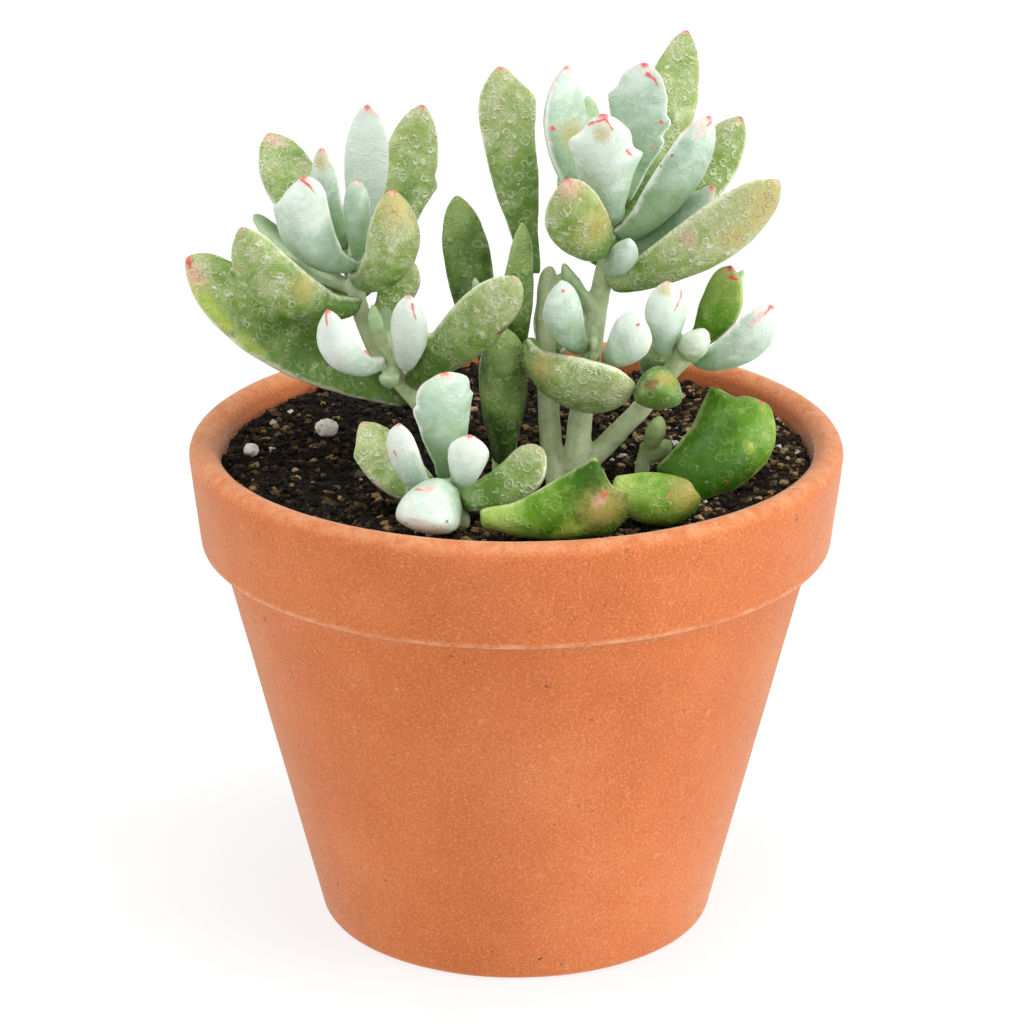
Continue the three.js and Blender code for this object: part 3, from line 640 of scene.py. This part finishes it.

# Each leaf: its finish, how light it is (its own tone, plus painted shade that darkens leaves sitting in
# shade), how pink its tip and edges are, and its marks, each with its kind, half its width in mm and the
# places that it runs through
leafTable = {
    "left_lowest": ("mature", -0.55, 0.9, [
        ("red", 0.6, (-51.8, -8.1, 114.2), (-51.5, -8.9, 113.2)), ("pink", 1.7, (-51.0, -9.4, 111.8)),
        ("yellow", 1.3, (-50.0, -10.8, 109.8), (-48.0, -11.6, 107.4), (-45.2, -12.1, 104.2)),
        ("ochre", 0.9, (-46.3, -12.2, 104.1)),
        ("yellow", 1.0, (-42.8, -12.2, 101.9), (-39.9, -12.1, 99.8))]),
    "left_inner": ("mature", -0.1, 0.6, [("brown", 0.8, (-2.1, -19.0, 105.9))]),
    "left_front": ("mature", -0.2, 0.7, [
        ("ochre", 1.4, (-33.4, -14.2, 111.4)), ("ochre", 1.6, (-42.5, -12.6, 115.5))]),
    "left_middle": ("mature", 0.0, 0.3, []),
    "left_rear": ("mature", -0.4, 0.8, [("pink", 1.0, (-39.2, 8.7, 129.2), (-37.4, 8.3, 128.5))]),
    "left_back_right": ("mature", 0.0, 0.8, []),
    "left_pale": ("pale", 0.05, 0.9, [
        ("red", 0.26, (-34.2, -11.5, 129.0), (-32.4, -12.0, 127.6), (-31.4, -12.0, 126.2))]),
    "left_tall_pale": ("pale", 0.7, 0.9, [("pink", 0.5, (-23.5, 2.5, 136.2), (-21.8, 2.1, 134.6))]),
    "left_small_rear": ("pale", -0.2, 0.9, [("ochre", 0.9, (-30.7, -3.0, 128.8))]),
    "left_new": ("pale", -0.35, 0.9, []),
    "left_facing": ("mature", 0.1, 0.9, [("ochre", 2.2, (-18.6, -15.3, 124.8))]),
    "left_hidden": ("mature", -0.1, 0.3, []),
    "shoot_left": ("pale", 0.5, 0.9, [("red", 0.24, (-29.6, -20.5, 109.6), (-29.3, -20.8, 107.4))]),
    "shoot_right": ("pale", 0.9, 0.8, [
        ("red", 0.2, (-16.2, -20.8, 110.8), (-16.0, -21.0, 109.6), (-15.6, -21.0, 108.4))]),
    "centre_left": ("dark", -0.15, 0.2, []),
    "centre_right": ("dark", 0.15, 0.5, []),
    "centre_front": ("dark", -0.2, 0.1, []),
    "front_tall": ("pale", -0.5, 0.9, []),
    "front_left": ("pale", 0.35, 0.8, [("red", 0.25, (-18.7, -34.9, 91.5), (-18.4, -35.2, 90.6))]),
    "front_right": ("pale", 0.35, 0.8, []),
    "front_facing": ("pale", -0.05, 0.5, [
        ("brown", 0.22, (-16.7, -43.9, 83.2)), ("brown", 0.22, (-10.6, -45.6, 84.1)),
        ("red", 0.28, (-15.2, -41.5, 87.6), (-14.1, -42.1, 87.3)), ("pink", 0.9, (-13.4, -41.9, 88.0))]),
    "front_back": ("mature", -0.1, 0.7, [("ochre", 0.9, (-18.9, -25.3, 88.1))]),
    "front_side": ("mature", -0.15, 0.5, []),
    "right_outer_left": ("mature", -0.2, 0.7, []),
    "right_pale_front": ("pale", -0.35, 0.9, [
        ("red", 0.4, (5.7, -8.8, 135.8)), ("ochre", 1.6, (8.7, -7.2, 134.3))]),
    "right_crown": ("pale", 0.15, 1.0, [
        ("red", 0.25, (11.3, -17.4, 138.7), (13.6, -17.7, 139.6), (14.8, -18.0, 137.9)),
        ("red", 0.25, (16.9, -17.1, 134.5), (18.0, -16.5, 133.1)),
        ("ochre", 0.9, (13.2, -18.0, 137.4))]),
    "right_toothed": ("pale", -0.2, 1.0, [
        ("red", 0.3, (20.7, 1.4, 141.9), (21.8, 0.7, 141.2), (22.3, 0.4, 140.3)),
        ("red", 0.3, (22.9, -1.4, 134.8)), ("red", 0.25, (21.4, -2.1, 130.8)),
        ("red", 0.25, (14.7, 3.0, 137.1))]),
    "right_tallest": ("mature", -0.1, 0.8, []),
    "right_long_pale": ("pale", -0.5, 1.0, [
        ("red", 0.3, (30.2, -10.0, 137.6), (29.4, -11.5, 136.8)),
        ("pink", 0.6, (28.9, -11.8, 136.8), (27.7, -12.4, 135.2)),
        ("brown", 0.2, (24.2, -12.2, 132.4)), ("brown", 0.2, (22.5, -11.6, 130.5))]),
    "right_back": ("mature", -0.25, 0.9, []),
    "right_slim": ("pale", -0.35, 0.9, []),
    "right_longest": ("mature", 0.55, 0.7, [
        ("pink", 0.9, (26.7, -15.7, 120.0)), ("ochre", 2.6, (39.0, -15.9, 125.6)),
        ("ochre", 1.8, (38.0, -16.2, 122.6)), ("ochre", 1.6, (34.5, -17.0, 119.8))]),
    "right_facing": ("mature", -0.35, 0.8, [
        ("pink", 1.8, (8.1, -22.0, 130.2)), ("ochre", 2.4, (12.6, -19.4, 123.6)),
        ("ochre", 1.8, (9.5, -20.0, 127.0))]),
    "right_small_facing": ("pale", -0.35, 0.2, []),
    "right_boat": ("mature", -0.15, 0.3, [
        ("ochre", 1.6, (3.5, -20.5, 100.5)), ("brown", 0.4, (1.0, -17.0, 101.5))]),
    "bud_shoot_left": ("pale", -0.25, 0.4, [("red", 0.25, (7.2, -21.4, 113.2))]),
    "bud_shoot_right": ("pale", 0.2, 0.4, [("red", 0.25, (18.8, -23.7, 108.5))]),
    "arm_upright": ("pale", 0.4, 0.8, [
        ("red", 0.25, (25.7, -17.6, 112.2), (25.3, -18.8, 111.0), (24.5, -19.6, 109.4)),
        ("ochre", 0.7, (23.1, -18.8, 112.5))]),
    "arm_long": ("pale", -0.05, 1.0, [
        ("red", 0.3, (39.6, -18.5, 109.8), (38.5, -19.6, 108.7)),
        ("pink", 0.5, (38.5, -19.0, 108.9), (36.2, -19.6, 106.9))]),
    "arm_green": ("bright", 0.15, 0.9, [("red", 0.35, (33.6, -12.8, 112.8), (34.7, -13.2, 112.5))]),
    "soil_front": ("bright", -0.15, 0.3, [
        ("red", 0.35, (13.1, -43.6, 87.9), (13.9, -43.1, 87.1)), ("pink", 0.8, (12.6, -43.9, 86.6)),
        ("ochre", 2.4, (13.4, -43.6, 85.2)), ("yellow", 1.3, (8.1, -43.5, 81.9), (5.6, -43.4, 81.0))]),
    "soil_middle": ("bright", 0.15, 0.2, [
        ("ochre", 2.0, (26.0, -36.5, 85.5)), ("red", 0.25, (23.5, -37.9, 85.4))]),
    "soil_right": ("bright", -0.6, 0.3, [
        ("brown", 0.5, (31.6, -13.2, 94.5)), ("red", 0.45, (38.9, -13.4, 92.4)),
        ("yellow", 0.7, (36.8, -19.1, 86.8)), ("brown", 0.3, (33.1, -21.5, 81.8))]),
    "left_away": ("mature", 0.0, 0.5, []),
    "right_away": ("mature", 0.0, 0.5, []),
    "right_low_away": ("mature", -0.1, 0.4, []),
    "arm_away": ("dark", 0.2, 0.3, []),
    "arm_round": ("mature", -1.3, 0.3, [
        ("ochre", 1.2, (24.0, -24.0, 102.5)), ("brown", 0.9, (21.0, -24.0, 99.0))]),
}

leafShaping = {
    "fitRounds": 3, "tipPull": 0.15, "rootPull": 0.9, "roundings": 30,
    "lumpSize": 7, "lump": 0.55, "dimpleSize": 2.0, "dimple": 0.14,
    "redTip": 1.5, "pinkTip": 3.2, "flushEdge": (0.82, 1.0), "flushAlong": (0.72, 0.95),
}


def findRings(sculpt):
    # The leaf is a grid: its two ends are the points where the most edges meet
    ends = sorted(sculpt.verts, key=lambda vertex: -len(vertex.link_edges))[:2]
    depth = {ends[0]: 0}
    rings = [[ends[0]]]
    while True:
        nextRing = []
        for vertex in rings[-1]:
            for edge in vertex.link_edges:
                other = edge.other_vert(vertex)
                if other not in depth:
                    depth[other] = len(rings)
                    nextRing.append(other)
        if not nextRing:
            break
        rings.append(nextRing)

    def flatness(end, ring):
        middle = sum((vertex.co for vertex in ring), Vector()) / len(ring)
        spread = sum((vertex.co - middle).length for vertex in ring) / len(ring)
        return (end.co - middle).length / spread

    # The foot's end is flatter than the tip's
    if flatness(rings[0][0], rings[1]) > flatness(rings[-1][0], rings[-2]):
        rings.reverse()
    return rings


def marginPairs(rings):
    middles = [sum((vertex.co for vertex in ring), Vector()) / len(ring) for ring in rings]
    widest, across = 1, Vector()
    for i in range(1, len(rings) - 1):
        for first in rings[i]:
            for second in rings[i]:
                if (first.co - second.co).length > across.length:
                    widest, across = i, first.co - second.co
    across.normalize()
    pairs = {}
    for order in (range(widest, len(rings) - 1), range(widest - 1, 0, -1)):
        direction = across.copy()
        for i in order:
            tangent = (middles[min(i + 1, len(rings) - 1)] - middles[i - 1]).normalized()
            direction -= tangent * direction.dot(tangent)
            direction.normalize()
            left = min(rings[i], key=lambda vertex: (vertex.co - middles[i]).dot(direction))
            right = max(rings[i], key=lambda vertex: (vertex.co - middles[i]).dot(direction))
            pairs[i] = (left, right)
            direction = (right.co - left.co).normalized()
    return middles, pairs


def prepareLeaf(piece, marginCrease):
    sculpt = bmesh.new()
    sculpt.from_mesh(piece.data)
    along = sculpt.verts.layers.float.new("along")
    across = sculpt.verts.layers.float.new("across")
    crease = sculpt.edges.layers.float.new("crease_edge")
    rings = findRings(sculpt)
    middles, pairs = marginPairs(rings)
    distance = [0.0]
    for i in range(1, len(rings)):
        distance.append(distance[-1] + (middles[i] - middles[i - 1]).length)
    for i, ring in enumerate(rings):
        for vertex in ring:
            vertex[along] = distance[i] / distance[-1]
        if i not in pairs:
            continue
        left, right = pairs[i]
        chord = (left.co + right.co) / 2
        half = (right.co - left.co) / 2
        for vertex in ring if marginCrease else ():  # a round leaf has no margin
            vertex[across] = max(-1, min(1, (vertex.co - chord).dot(half) / half.length_squared))
        for vertex in (left, right):
            for edge in vertex.link_edges:
                if i + 1 in pairs and edge.other_vert(vertex) in pairs[i + 1]:
                    edge[crease] = marginCrease
    tip = rings[-1][0]
    tip.co += (tip.co - middles[-2]).normalized() * leafShaping["tipPull"] * mm
    foot = rings[0][0]
    inward = (foot.co - middles[1]).normalized() * leafShaping["rootPull"] * mm
    for vertex in rings[0] + rings[1]:
        vertex.co += inward
    tipPlace = tip.co.copy()
    sculpt.to_mesh(piece.data)
    sculpt.free()
    return tipPlace


def quadsFromTriangles(piece):
    editMesh(piece, "FACE")
    bpy.ops.mesh.select_all(action="SELECT")
    bpy.ops.mesh.tris_convert_to_quads(face_threshold=math.pi, shape_threshold=math.pi)
    bpy.ops.object.mode_set(mode="OBJECT")


def subdivideKeepingShape(piece, levels):
    # The cage is pushed out until the smooth surface passes through the CAD points
    subdivision = piece.modifiers.new("smooth skin", "SUBSURF")
    subdivision.levels = subdivision.render_levels = 1
    subdivision.use_limit_surface = True
    wanted = [vertex.co.copy() for vertex in piece.data.vertices]
    for _ in range(leafShaping["fitRounds"]):
        skin = piece.evaluated_get(bpy.context.evaluated_depsgraph_get()).data
        offsets = [wanted[i] - skin.vertices[i].co for i in range(len(wanted))]
        for vertex, offset in zip(piece.data.vertices, offsets):
            vertex.co += offset
        piece.data.update()
        piece.update_tag()
        bpy.context.view_layer.update()
    subdivision.levels = subdivision.render_levels = levels


def onSkin(skin, places):
    # Follows the leaf between the given places, all in mm
    line = [Vector(places[0])]
    for start, end in zip(places, places[1:]):
        line += [Vector(start).lerp(Vector(end), step / 4) for step in range(1, 5)]
    return [skin.find_nearest(point * mm)[0] / mm for point in line]


def markLeaf(piece, tip, toneWithShade, flush, edgeFlush, marks):
    mesh = piece.data
    skin = treeOf(piece)
    along = readAttribute(mesh, "along")
    across = readAttribute(mesh, "across")
    shades = {kind: [0.0] * len(mesh.vertices) for kind in leafMarks}
    normals = [vertex.normal.copy() for vertex in mesh.vertices]
    lines = [(kind, radius, onSkin(skin, places)) for kind, radius, *places in marks]
    for i, vertex in enumerate(mesh.vertices):
        fromTip = (vertex.co - tip).length / mm
        shades["red"][i] = max(0, flush * (1.15 - fromTip / leafShaping["redTip"]))
        edge = smoothStep(*leafShaping["flushEdge"], abs(across[i]))
        edge *= smoothStep(*leafShaping["flushAlong"], along[i])
        tipFlush = flush * (1 - fromTip / leafShaping["pinkTip"])
        shades["pink"][i] = max(0, flush * edgeFlush * edge, tipFlush)
        for kind, radius, line in lines:
            away, place = distanceToLine(vertex.co / mm, line)
            away /= 1.25 - 0.8 * place  # a streak thins out towards its end
            shades[kind][i] = max(shades[kind][i], 1 - away / (2.5 * radius))
            if kind == "red":
                shades["pink"][i] = max(shades["pink"][i], 0.75 - away / (5 * radius))
            vertex.co += normals[i] * leafMarks[kind][4] * smoothStep(1.2 * radius, 0.0, away) * mm
    for kind, values in shades.items():
        writeAttribute(mesh, kind, values)
    # tone: the leaf's own lightness and painted shade together
    writeAttribute(mesh, "tone", [toneWithShade] * len(mesh.vertices))


def bentCoordinates(tree, size, reach):
    wobble = tree.nodes.new("ShaderNodeTexNoise")
    wobble.inputs["Scale"].default_value = 1 / (size * mm)
    wobble.inputs["Detail"].default_value = 1
    coordinates = tree.nodes.new("ShaderNodeTexCoord").outputs["Object"]
    tree.links.new(coordinates, wobble.inputs["Vector"])
    bent = tree.nodes.new("ShaderNodeVectorMath")
    bent.operation = "MULTIPLY_ADD"
    tree.links.new(wobble.outputs["Color"], bent.inputs[0])
    bent.inputs[1].default_value = (reach * mm, reach * mm, reach * mm)
    tree.links.new(coordinates, bent.inputs[2])
    return bent.outputs[0]


# The raised loops: sizes in mm, then widths as shares of a cell
loopLooks = {
    "cell": 1.9, "bend": (1.2, 0.8), "patch": 1.6, "ring": 0.36, "ringWidth": (0.105, 0.02),
    "wormWidth": (0.035, 0.006),
}


def raisedLoops(tree):
    # Rings round scattered points and the level lines of a noise between them
    cells = tree.nodes.new("ShaderNodeTexVoronoi")
    cells.inputs["Scale"].default_value = 1 / (loopLooks["cell"] * mm)
    tree.links.new(bentCoordinates(tree, *loopLooks["bend"]), cells.inputs["Vector"])
    offRing = calculate(tree, "SUBTRACT", cells.outputs["Distance"], loopLooks["ring"])
    rings = between(tree, calculate(tree, "ABSOLUTE", offRing), *loopLooks["ringWidth"])
    waves = noiseAt(tree, loopLooks["cell"], detail=1, roughness=0.4, distortion=0.9)
    offLine = calculate(tree, "SUBTRACT", waves, 0.5)
    worms = between(tree, calculate(tree, "ABSOLUTE", offLine), *loopLooks["wormWidth"])
    broken = between(tree, noiseAt(tree, loopLooks["patch"], detail=2), 0.38, 0.5)
    return calculate(tree, "MAXIMUM", calculate(tree, "MULTIPLY", rings, broken),
                     calculate(tree, "MULTIPLY", worms, between(tree, broken, 0.9, 0.4)))


def leafMaterial(name, look):
    material, tree, shader = newMaterial(name + " leaf")
    along = attributeOf(tree, "along")
    across = calculate(tree, "ABSOLUTE", attributeOf(tree, "across"))
    tone = attributeOf(tree, "tone")
    broad = noiseAt(tree, 6, detail=3, roughness=0.6, distortion=0.5)
    patches = noiseAt(tree, 3.0, detail=5, roughness=0.68, distortion=0.6)
    # Paler towards the tip and darker towards the foot, partly the leaf's own colour and partly painted
    # shade low in the rosette, mottled at two sizes
    broadMottle = calculate(tree, "SUBTRACT", broad, 0.5)
    place = calculate(tree, "MULTIPLY_ADD", broadMottle, look["mottle"], along)
    fineMottle = calculate(tree, "SUBTRACT", patches, 0.5)
    place = calculate(tree, "MULTIPLY_ADD", fineMottle, 0.6 * look["mottle"], place)
    # each leaf's tone, which also holds painted shade for leaves in shade
    place = calculate(tree, "MULTIPLY_ADD", tone, 0.6, place)
    colour = rampOf(tree, place, [(0.08, look["low"]), (0.48, look["mid"]), (0.95, look["high"])])

    # Waxy bloom, rubbed off in patches and thickest on the upper half
    powder = noiseAt(tree, 0.35, detail=3, roughness=0.7)
    bloom = between(tree, patches, 0.4, 0.68)
    bloom = calculate(tree, "MULTIPLY", bloom, between(tree, place, 0.1, 0.9, 0.2, 1))
    bloom = calculate(tree, "MULTIPLY", bloom, between(tree, powder, 0.3, 0.6, 0.6, 1))
    bloom = calculate(tree, "MULTIPLY", bloom, look["bloomShare"])
    colour = mixColours(tree, bloom, colour, look["bloom"])

    # Raised loops, with painted shade darkening the hollows between them and painted highlights as a few
    # bright glints
    loops = raisedLoops(tree)
    shown = between(tree, place, -0.1, 0.6, 0.4, 1)
    # painted shade: the hollows between the raised loops are darkened towards the low colour
    paintedHollowShade = between(tree, loops, 0.5, 0.0)
    paintedHollowShade = calculate(tree, "MULTIPLY", paintedHollowShade, between(tree, powder, 0.62, 0.42))
    paintedHollowShade = calculate(tree, "MULTIPLY", paintedHollowShade, look["hollowShade"])
    colour = mixColours(tree, paintedHollowShade, colour, look["low"])
    ridge = calculate(tree, "MULTIPLY", loops, shown)
    colour = mixColours(tree, calculate(tree, "MULTIPLY", ridge, look["ridge"]), colour, look["bloom"])
    # painted highlights: a few small white glints
    paintedGlints = between(tree, noiseAt(tree, 0.9, detail=1), 0.70, 0.76)
    paintedGlints = calculate(tree, "MULTIPLY", paintedGlints, look["ridge"])
    colour = mixColours(tree, paintedGlints, colour, (0.86, 0.88, 0.78))

    # Pale edge: partly the leaf's own horny margin, partly a painted rim light along the edges
    raggedEdge = calculate(tree, "MULTIPLY_ADD", fineMottle, 0.25, across)
    marginAndRimLight = calculate(tree, "MULTIPLY", between(tree, raggedEdge, 0.88, 1.0), look["marginAndRimShare"])
    colour = mixColours(tree, marginAndRimLight, colour, look["marginAndRimLight"])

    # Marks grow ragged from how near each point is to them
    ragged = calculate(tree, "SUBTRACT", noiseAt(tree, 0.8, detail=3, roughness=0.7), 0.5)
    for kind, (shade, strength, low, high, _) in leafMarks.items():
        closeness = attributeOf(tree, kind)
        near = calculate(tree, "MULTIPLY_ADD", ragged, 0.8, closeness)
        near = calculate(tree, "MINIMUM", near, calculate(tree, "MULTIPLY", closeness, 6))
        share = calculate(tree, "MULTIPLY", between(tree, near, low, high), strength)
        colour = mixColours(tree, share, colour, shade)
    tree.links.new(colour, shader.inputs["Base Color"])

    gloss = calculate(tree, "MULTIPLY_ADD", bloom, 0.25, look["roughness"])
    tree.links.new(gloss, shader.inputs["Roughness"])
    shader.inputs["Specular IOR Level"].default_value = look["shine"]
    shader.inputs["Subsurface Weight"].default_value = 0.12
    shader.inputs["Subsurface Radius"].default_value = (0.8, 1.0, 0.3)
    shader.inputs["Subsurface Scale"].default_value = 1.2 * mm
    shader.inputs["Sheen Weight"].default_value = look["sheen"]
    shader.inputs["Sheen Roughness"].default_value = 0.5
    shader.inputs["Coat Weight"].default_value = look["coat"]
    shader.inputs["Coat Roughness"].default_value = 0.2
    height = calculate(tree, "MULTIPLY", ridge, look["relief"])
    height = calculate(tree, "MULTIPLY_ADD", patches, 0.5, height)
    height = calculate(tree, "MULTIPLY_ADD", powder, 0.1, height)
    bumpFrom(tree, shader, height, 0.26 * mm, 0.75)
    return material


leafMaterials = {name: leafMaterial(name, look) for name, look in leafLooks.items()}


def makeLeaves():
    lumps = cloudTexture("leaf lumps", leafShaping["lumpSize"] * mm, 1)
    dimples = cloudTexture("leaf dimples", leafShaping["dimpleSize"] * mm, 2)
    for name, (finish, toneWithShade, flush, marks) in leafTable.items():
        node = name + "_leaf"
        leaf = copyOfNode(node, node + "_skin")
        look = leafLooks[finish]
        tip = prepareLeaf(leaf, 0 if name in roundLeaves else look["crease"])
        quadsFromTriangles(leaf)
        # Pale and marked leaves are finer, so their small marks keep a clean edge
        subdivideKeepingShape(leaf, 3 if finish == "pale" or marks else 2)
        roughen(leaf, lumps, leafShaping["lump"] * mm)
        roughen(leaf, dimples, leafShaping["dimple"] * mm)
        if name in roundLeaves:
            soften(leaf, leafShaping["roundings"])
        applyModifiers(leaf)
        markLeaf(leaf, tip, toneWithShade, flush, look["edgeFlush"], marks)
        settle(leaf, leafMaterials[finish], finish + "_leaf", node)


makeLeaves()
print("leaves done")


# Stems

# The middle line of each arm of each stem, in mm
stemLines = {
    "left_stem": [
        [(-8, -12, 73), (-8.3, -12, 79.5), (-13.5, -11, 89), (-18.5, -8.5, 94.5), (-22.5, -6.5, 99.5),
         (-25, -5, 105.5), (-25.5, -4, 110.5), (-25.5, -3, 117)],
        [(-18, -8.5, 94), (-19.3, -11.2, 97), (-20.6, -13, 101.5)]],
    "centre_stem": [
        [(-2, -8.5, 73), (-2, -8.5, 79.5), (-1.5, -6, 85), (-1, -3, 91.5), (-1.5, -1, 97.5)]],
    "front_stem": [
        [(-8.8, -31, 73), (-9, -31, 80), (-10, -31.5, 82.5), (-11.2, -32, 85.5)]],
    "right_stem": [
        [(6.5, -14.5, 73), (6.5, -14.5, 80), (5.5, -11, 85), (5, -9, 93), (4.7, -7, 101.5),
         (4.6, -5, 107), (5.4, -4.2, 112)],
        [(9, -14.2, 73), (9, -14.2, 79.5), (9.8, -13, 86), (10.5, -12, 91.5), (11.7, -10, 99),
         (13, -8, 107.5), (14.2, -7, 113.5), (15.2, -6, 118), (15.7, -5, 124)],
        [(10.8, -11.8, 94), (11.8, -14.5, 98), (12.2, -17, 101.5)],
        [(9.5, -14, 73), (10, -13.8, 80), (12.8, -13, 83.5), (16.5, -13, 87.5), (20.4, -13.5, 92),
         (23.6, -14, 96.5), (25.6, -14.6, 99.8), (26.2, -14.9, 103)]],
    "sprout": [
        [(20, -11, 74), (20, -11, 80), (20.8, -11.4, 84.5)]],
}
stemLooks = {
    "cell": 0.38, "lumpSize": 2.6, "lump": 0.3, "barkWithin": 2.4, "leafBeyond": 3.4,
    "domeLength": 2.4, "domeReach": 3.2,
    "bark": [(0.3, (0.42, 0.50, 0.25)), (0.5, (0.57, 0.66, 0.38)), (0.7, (0.72, 0.78, 0.54))],
    "scurf": (0.34, 0.26, 0.14), "worn": (0.50, 0.52, 0.36),
    "leafGreens": [(0.3, (0.28, 0.43, 0.18)), (0.55, (0.48, 0.63, 0.38)), (0.8, (0.68, 0.79, 0.58))],
    "sproutGreens": [(0.3, (0.33, 0.50, 0.14)), (0.55, (0.54, 0.70, 0.31)), (0.8, (0.74, 0.82, 0.52))],
    # The young bud on the right arm is pale with a red point, its places in mm
    "budCentre": (27.8, -17.5, 104.9), "budRadius": 3.8, "budPoint": (27.6, -20.6, 106.2),
    "budPale": (0.70, 0.80, 0.66), "budRed": (0.74, 0.10, 0.11),
}


def stemMaterial(name, greens):
    material, tree, shader = newMaterial(name)
    leafy = attributeOf(tree, "leafy")
    broad = noiseAt(tree, 5, detail=3, roughness=0.6)
    bark = rampOf(tree, broad, stemLooks["bark"])
    scurf = noiseAt(tree, 1.1, detail=4, roughness=0.7)
    bark = mixColours(tree, between(tree, scurf, 0.54, 0.74, 0, 0.6), bark, stemLooks["scurf"])
    bark = mixColours(tree, between(tree, scurf, 0.45, 0.25, 0, 0.5), bark, stemLooks["worn"])
    colour = mixColours(tree, leafy, bark, rampOf(tree, broad, greens))
    bud = attributeOf(tree, "bud")
    colour = mixColours(tree, between(tree, bud, 0, 0.5, 0, 0.85), colour, stemLooks["budPale"])
    colour = mixColours(tree, between(tree, bud, 1.5, 1.8, 0, 0.85), colour, stemLooks["budRed"])
    tree.links.new(colour, shader.inputs["Base Color"])
    shader.inputs["Roughness"].default_value = 0.6
    shader.inputs["Subsurface Weight"].default_value = 0.05
    shader.inputs["Subsurface Scale"].default_value = 1 * mm
    bumpFrom(tree, shader, scurf, 0.3 * mm, 0.7)
    return material


def roundStemEnd(piece, line):
    # A free end closes as a dome
    length = stemLooks["domeLength"]
    end = Vector(line[-1]) * mm
    heading = (Vector(line[-1]) - Vector(line[-2])).normalized()
    for vertex in piece.data.vertices:
        past = (vertex.co - end).dot(heading) / mm
        centre = end + heading * past * mm
        if -length < past < 1 and (vertex.co - centre).length < stemLooks["domeReach"] * mm:
            share = min((past + length) / length, 0.995)
            spread = (vertex.co - centre) * math.sqrt(1 - share * share)
            vertex.co = end + heading * min(past, 0) * mm + spread


def markStem(piece, lines, allLeaf):
    # Leafy where it is thicker than the stem's own line, and the bud by its place
    centre, point = Vector(stemLooks["budCentre"]), Vector(stemLooks["budPoint"])
    within, beyond = stemLooks["barkWithin"], stemLooks["leafBeyond"]
    leafy, bud = [], []
    for vertex in piece.data.vertices:
        place = vertex.co / mm
        away = min(distanceToLine(place, line)[0] for line in lines)
        leafy.append(1.0 if allLeaf else smoothStep(within, beyond, away))
        pale = smoothStep(1.0, 0.75, (place - centre).length / stemLooks["budRadius"])
        bud.append(pale + smoothStep(1.1, 0.3, (place - point).length))
    writeAttribute(piece.data, "bud", bud)
    writeAttribute(piece.data, "leafy", leafy)


def makeStems():
    stemBark = stemMaterial("stem", stemLooks["leafGreens"])
    sproutSkin = stemMaterial("sprout", stemLooks["sproutGreens"])
    lumps = cloudTexture("stem lumps", stemLooks["lumpSize"] * mm, 2)
    for node, lines in stemLines.items():
        isSprout = node == "sprout"
        stem = copyOfNode(node, "sprout_skin" if isSprout else node + "_bark")
        remesh(stem, stemLooks["cell"] * mm, 2)
        roughen(stem, lumps, stemLooks["lump"] * mm)
        applyModifiers(stem)
        if node == "right_stem":
            roundStemEnd(stem, lines[0])
        markStem(stem, lines, isSprout)
        if isSprout:
            settle(stem, sproutSkin, "bright_leaf", node)
        else:
            settle(stem, stemBark, "stem", node)


makeStems()
print("stems done")

total = sum(len(face.vertices) - 2 for piece in bpy.data.objects
            if piece.type == "MESH" and not piece.hide_render for face in piece.data.polygons)
print("triangles shown", total)
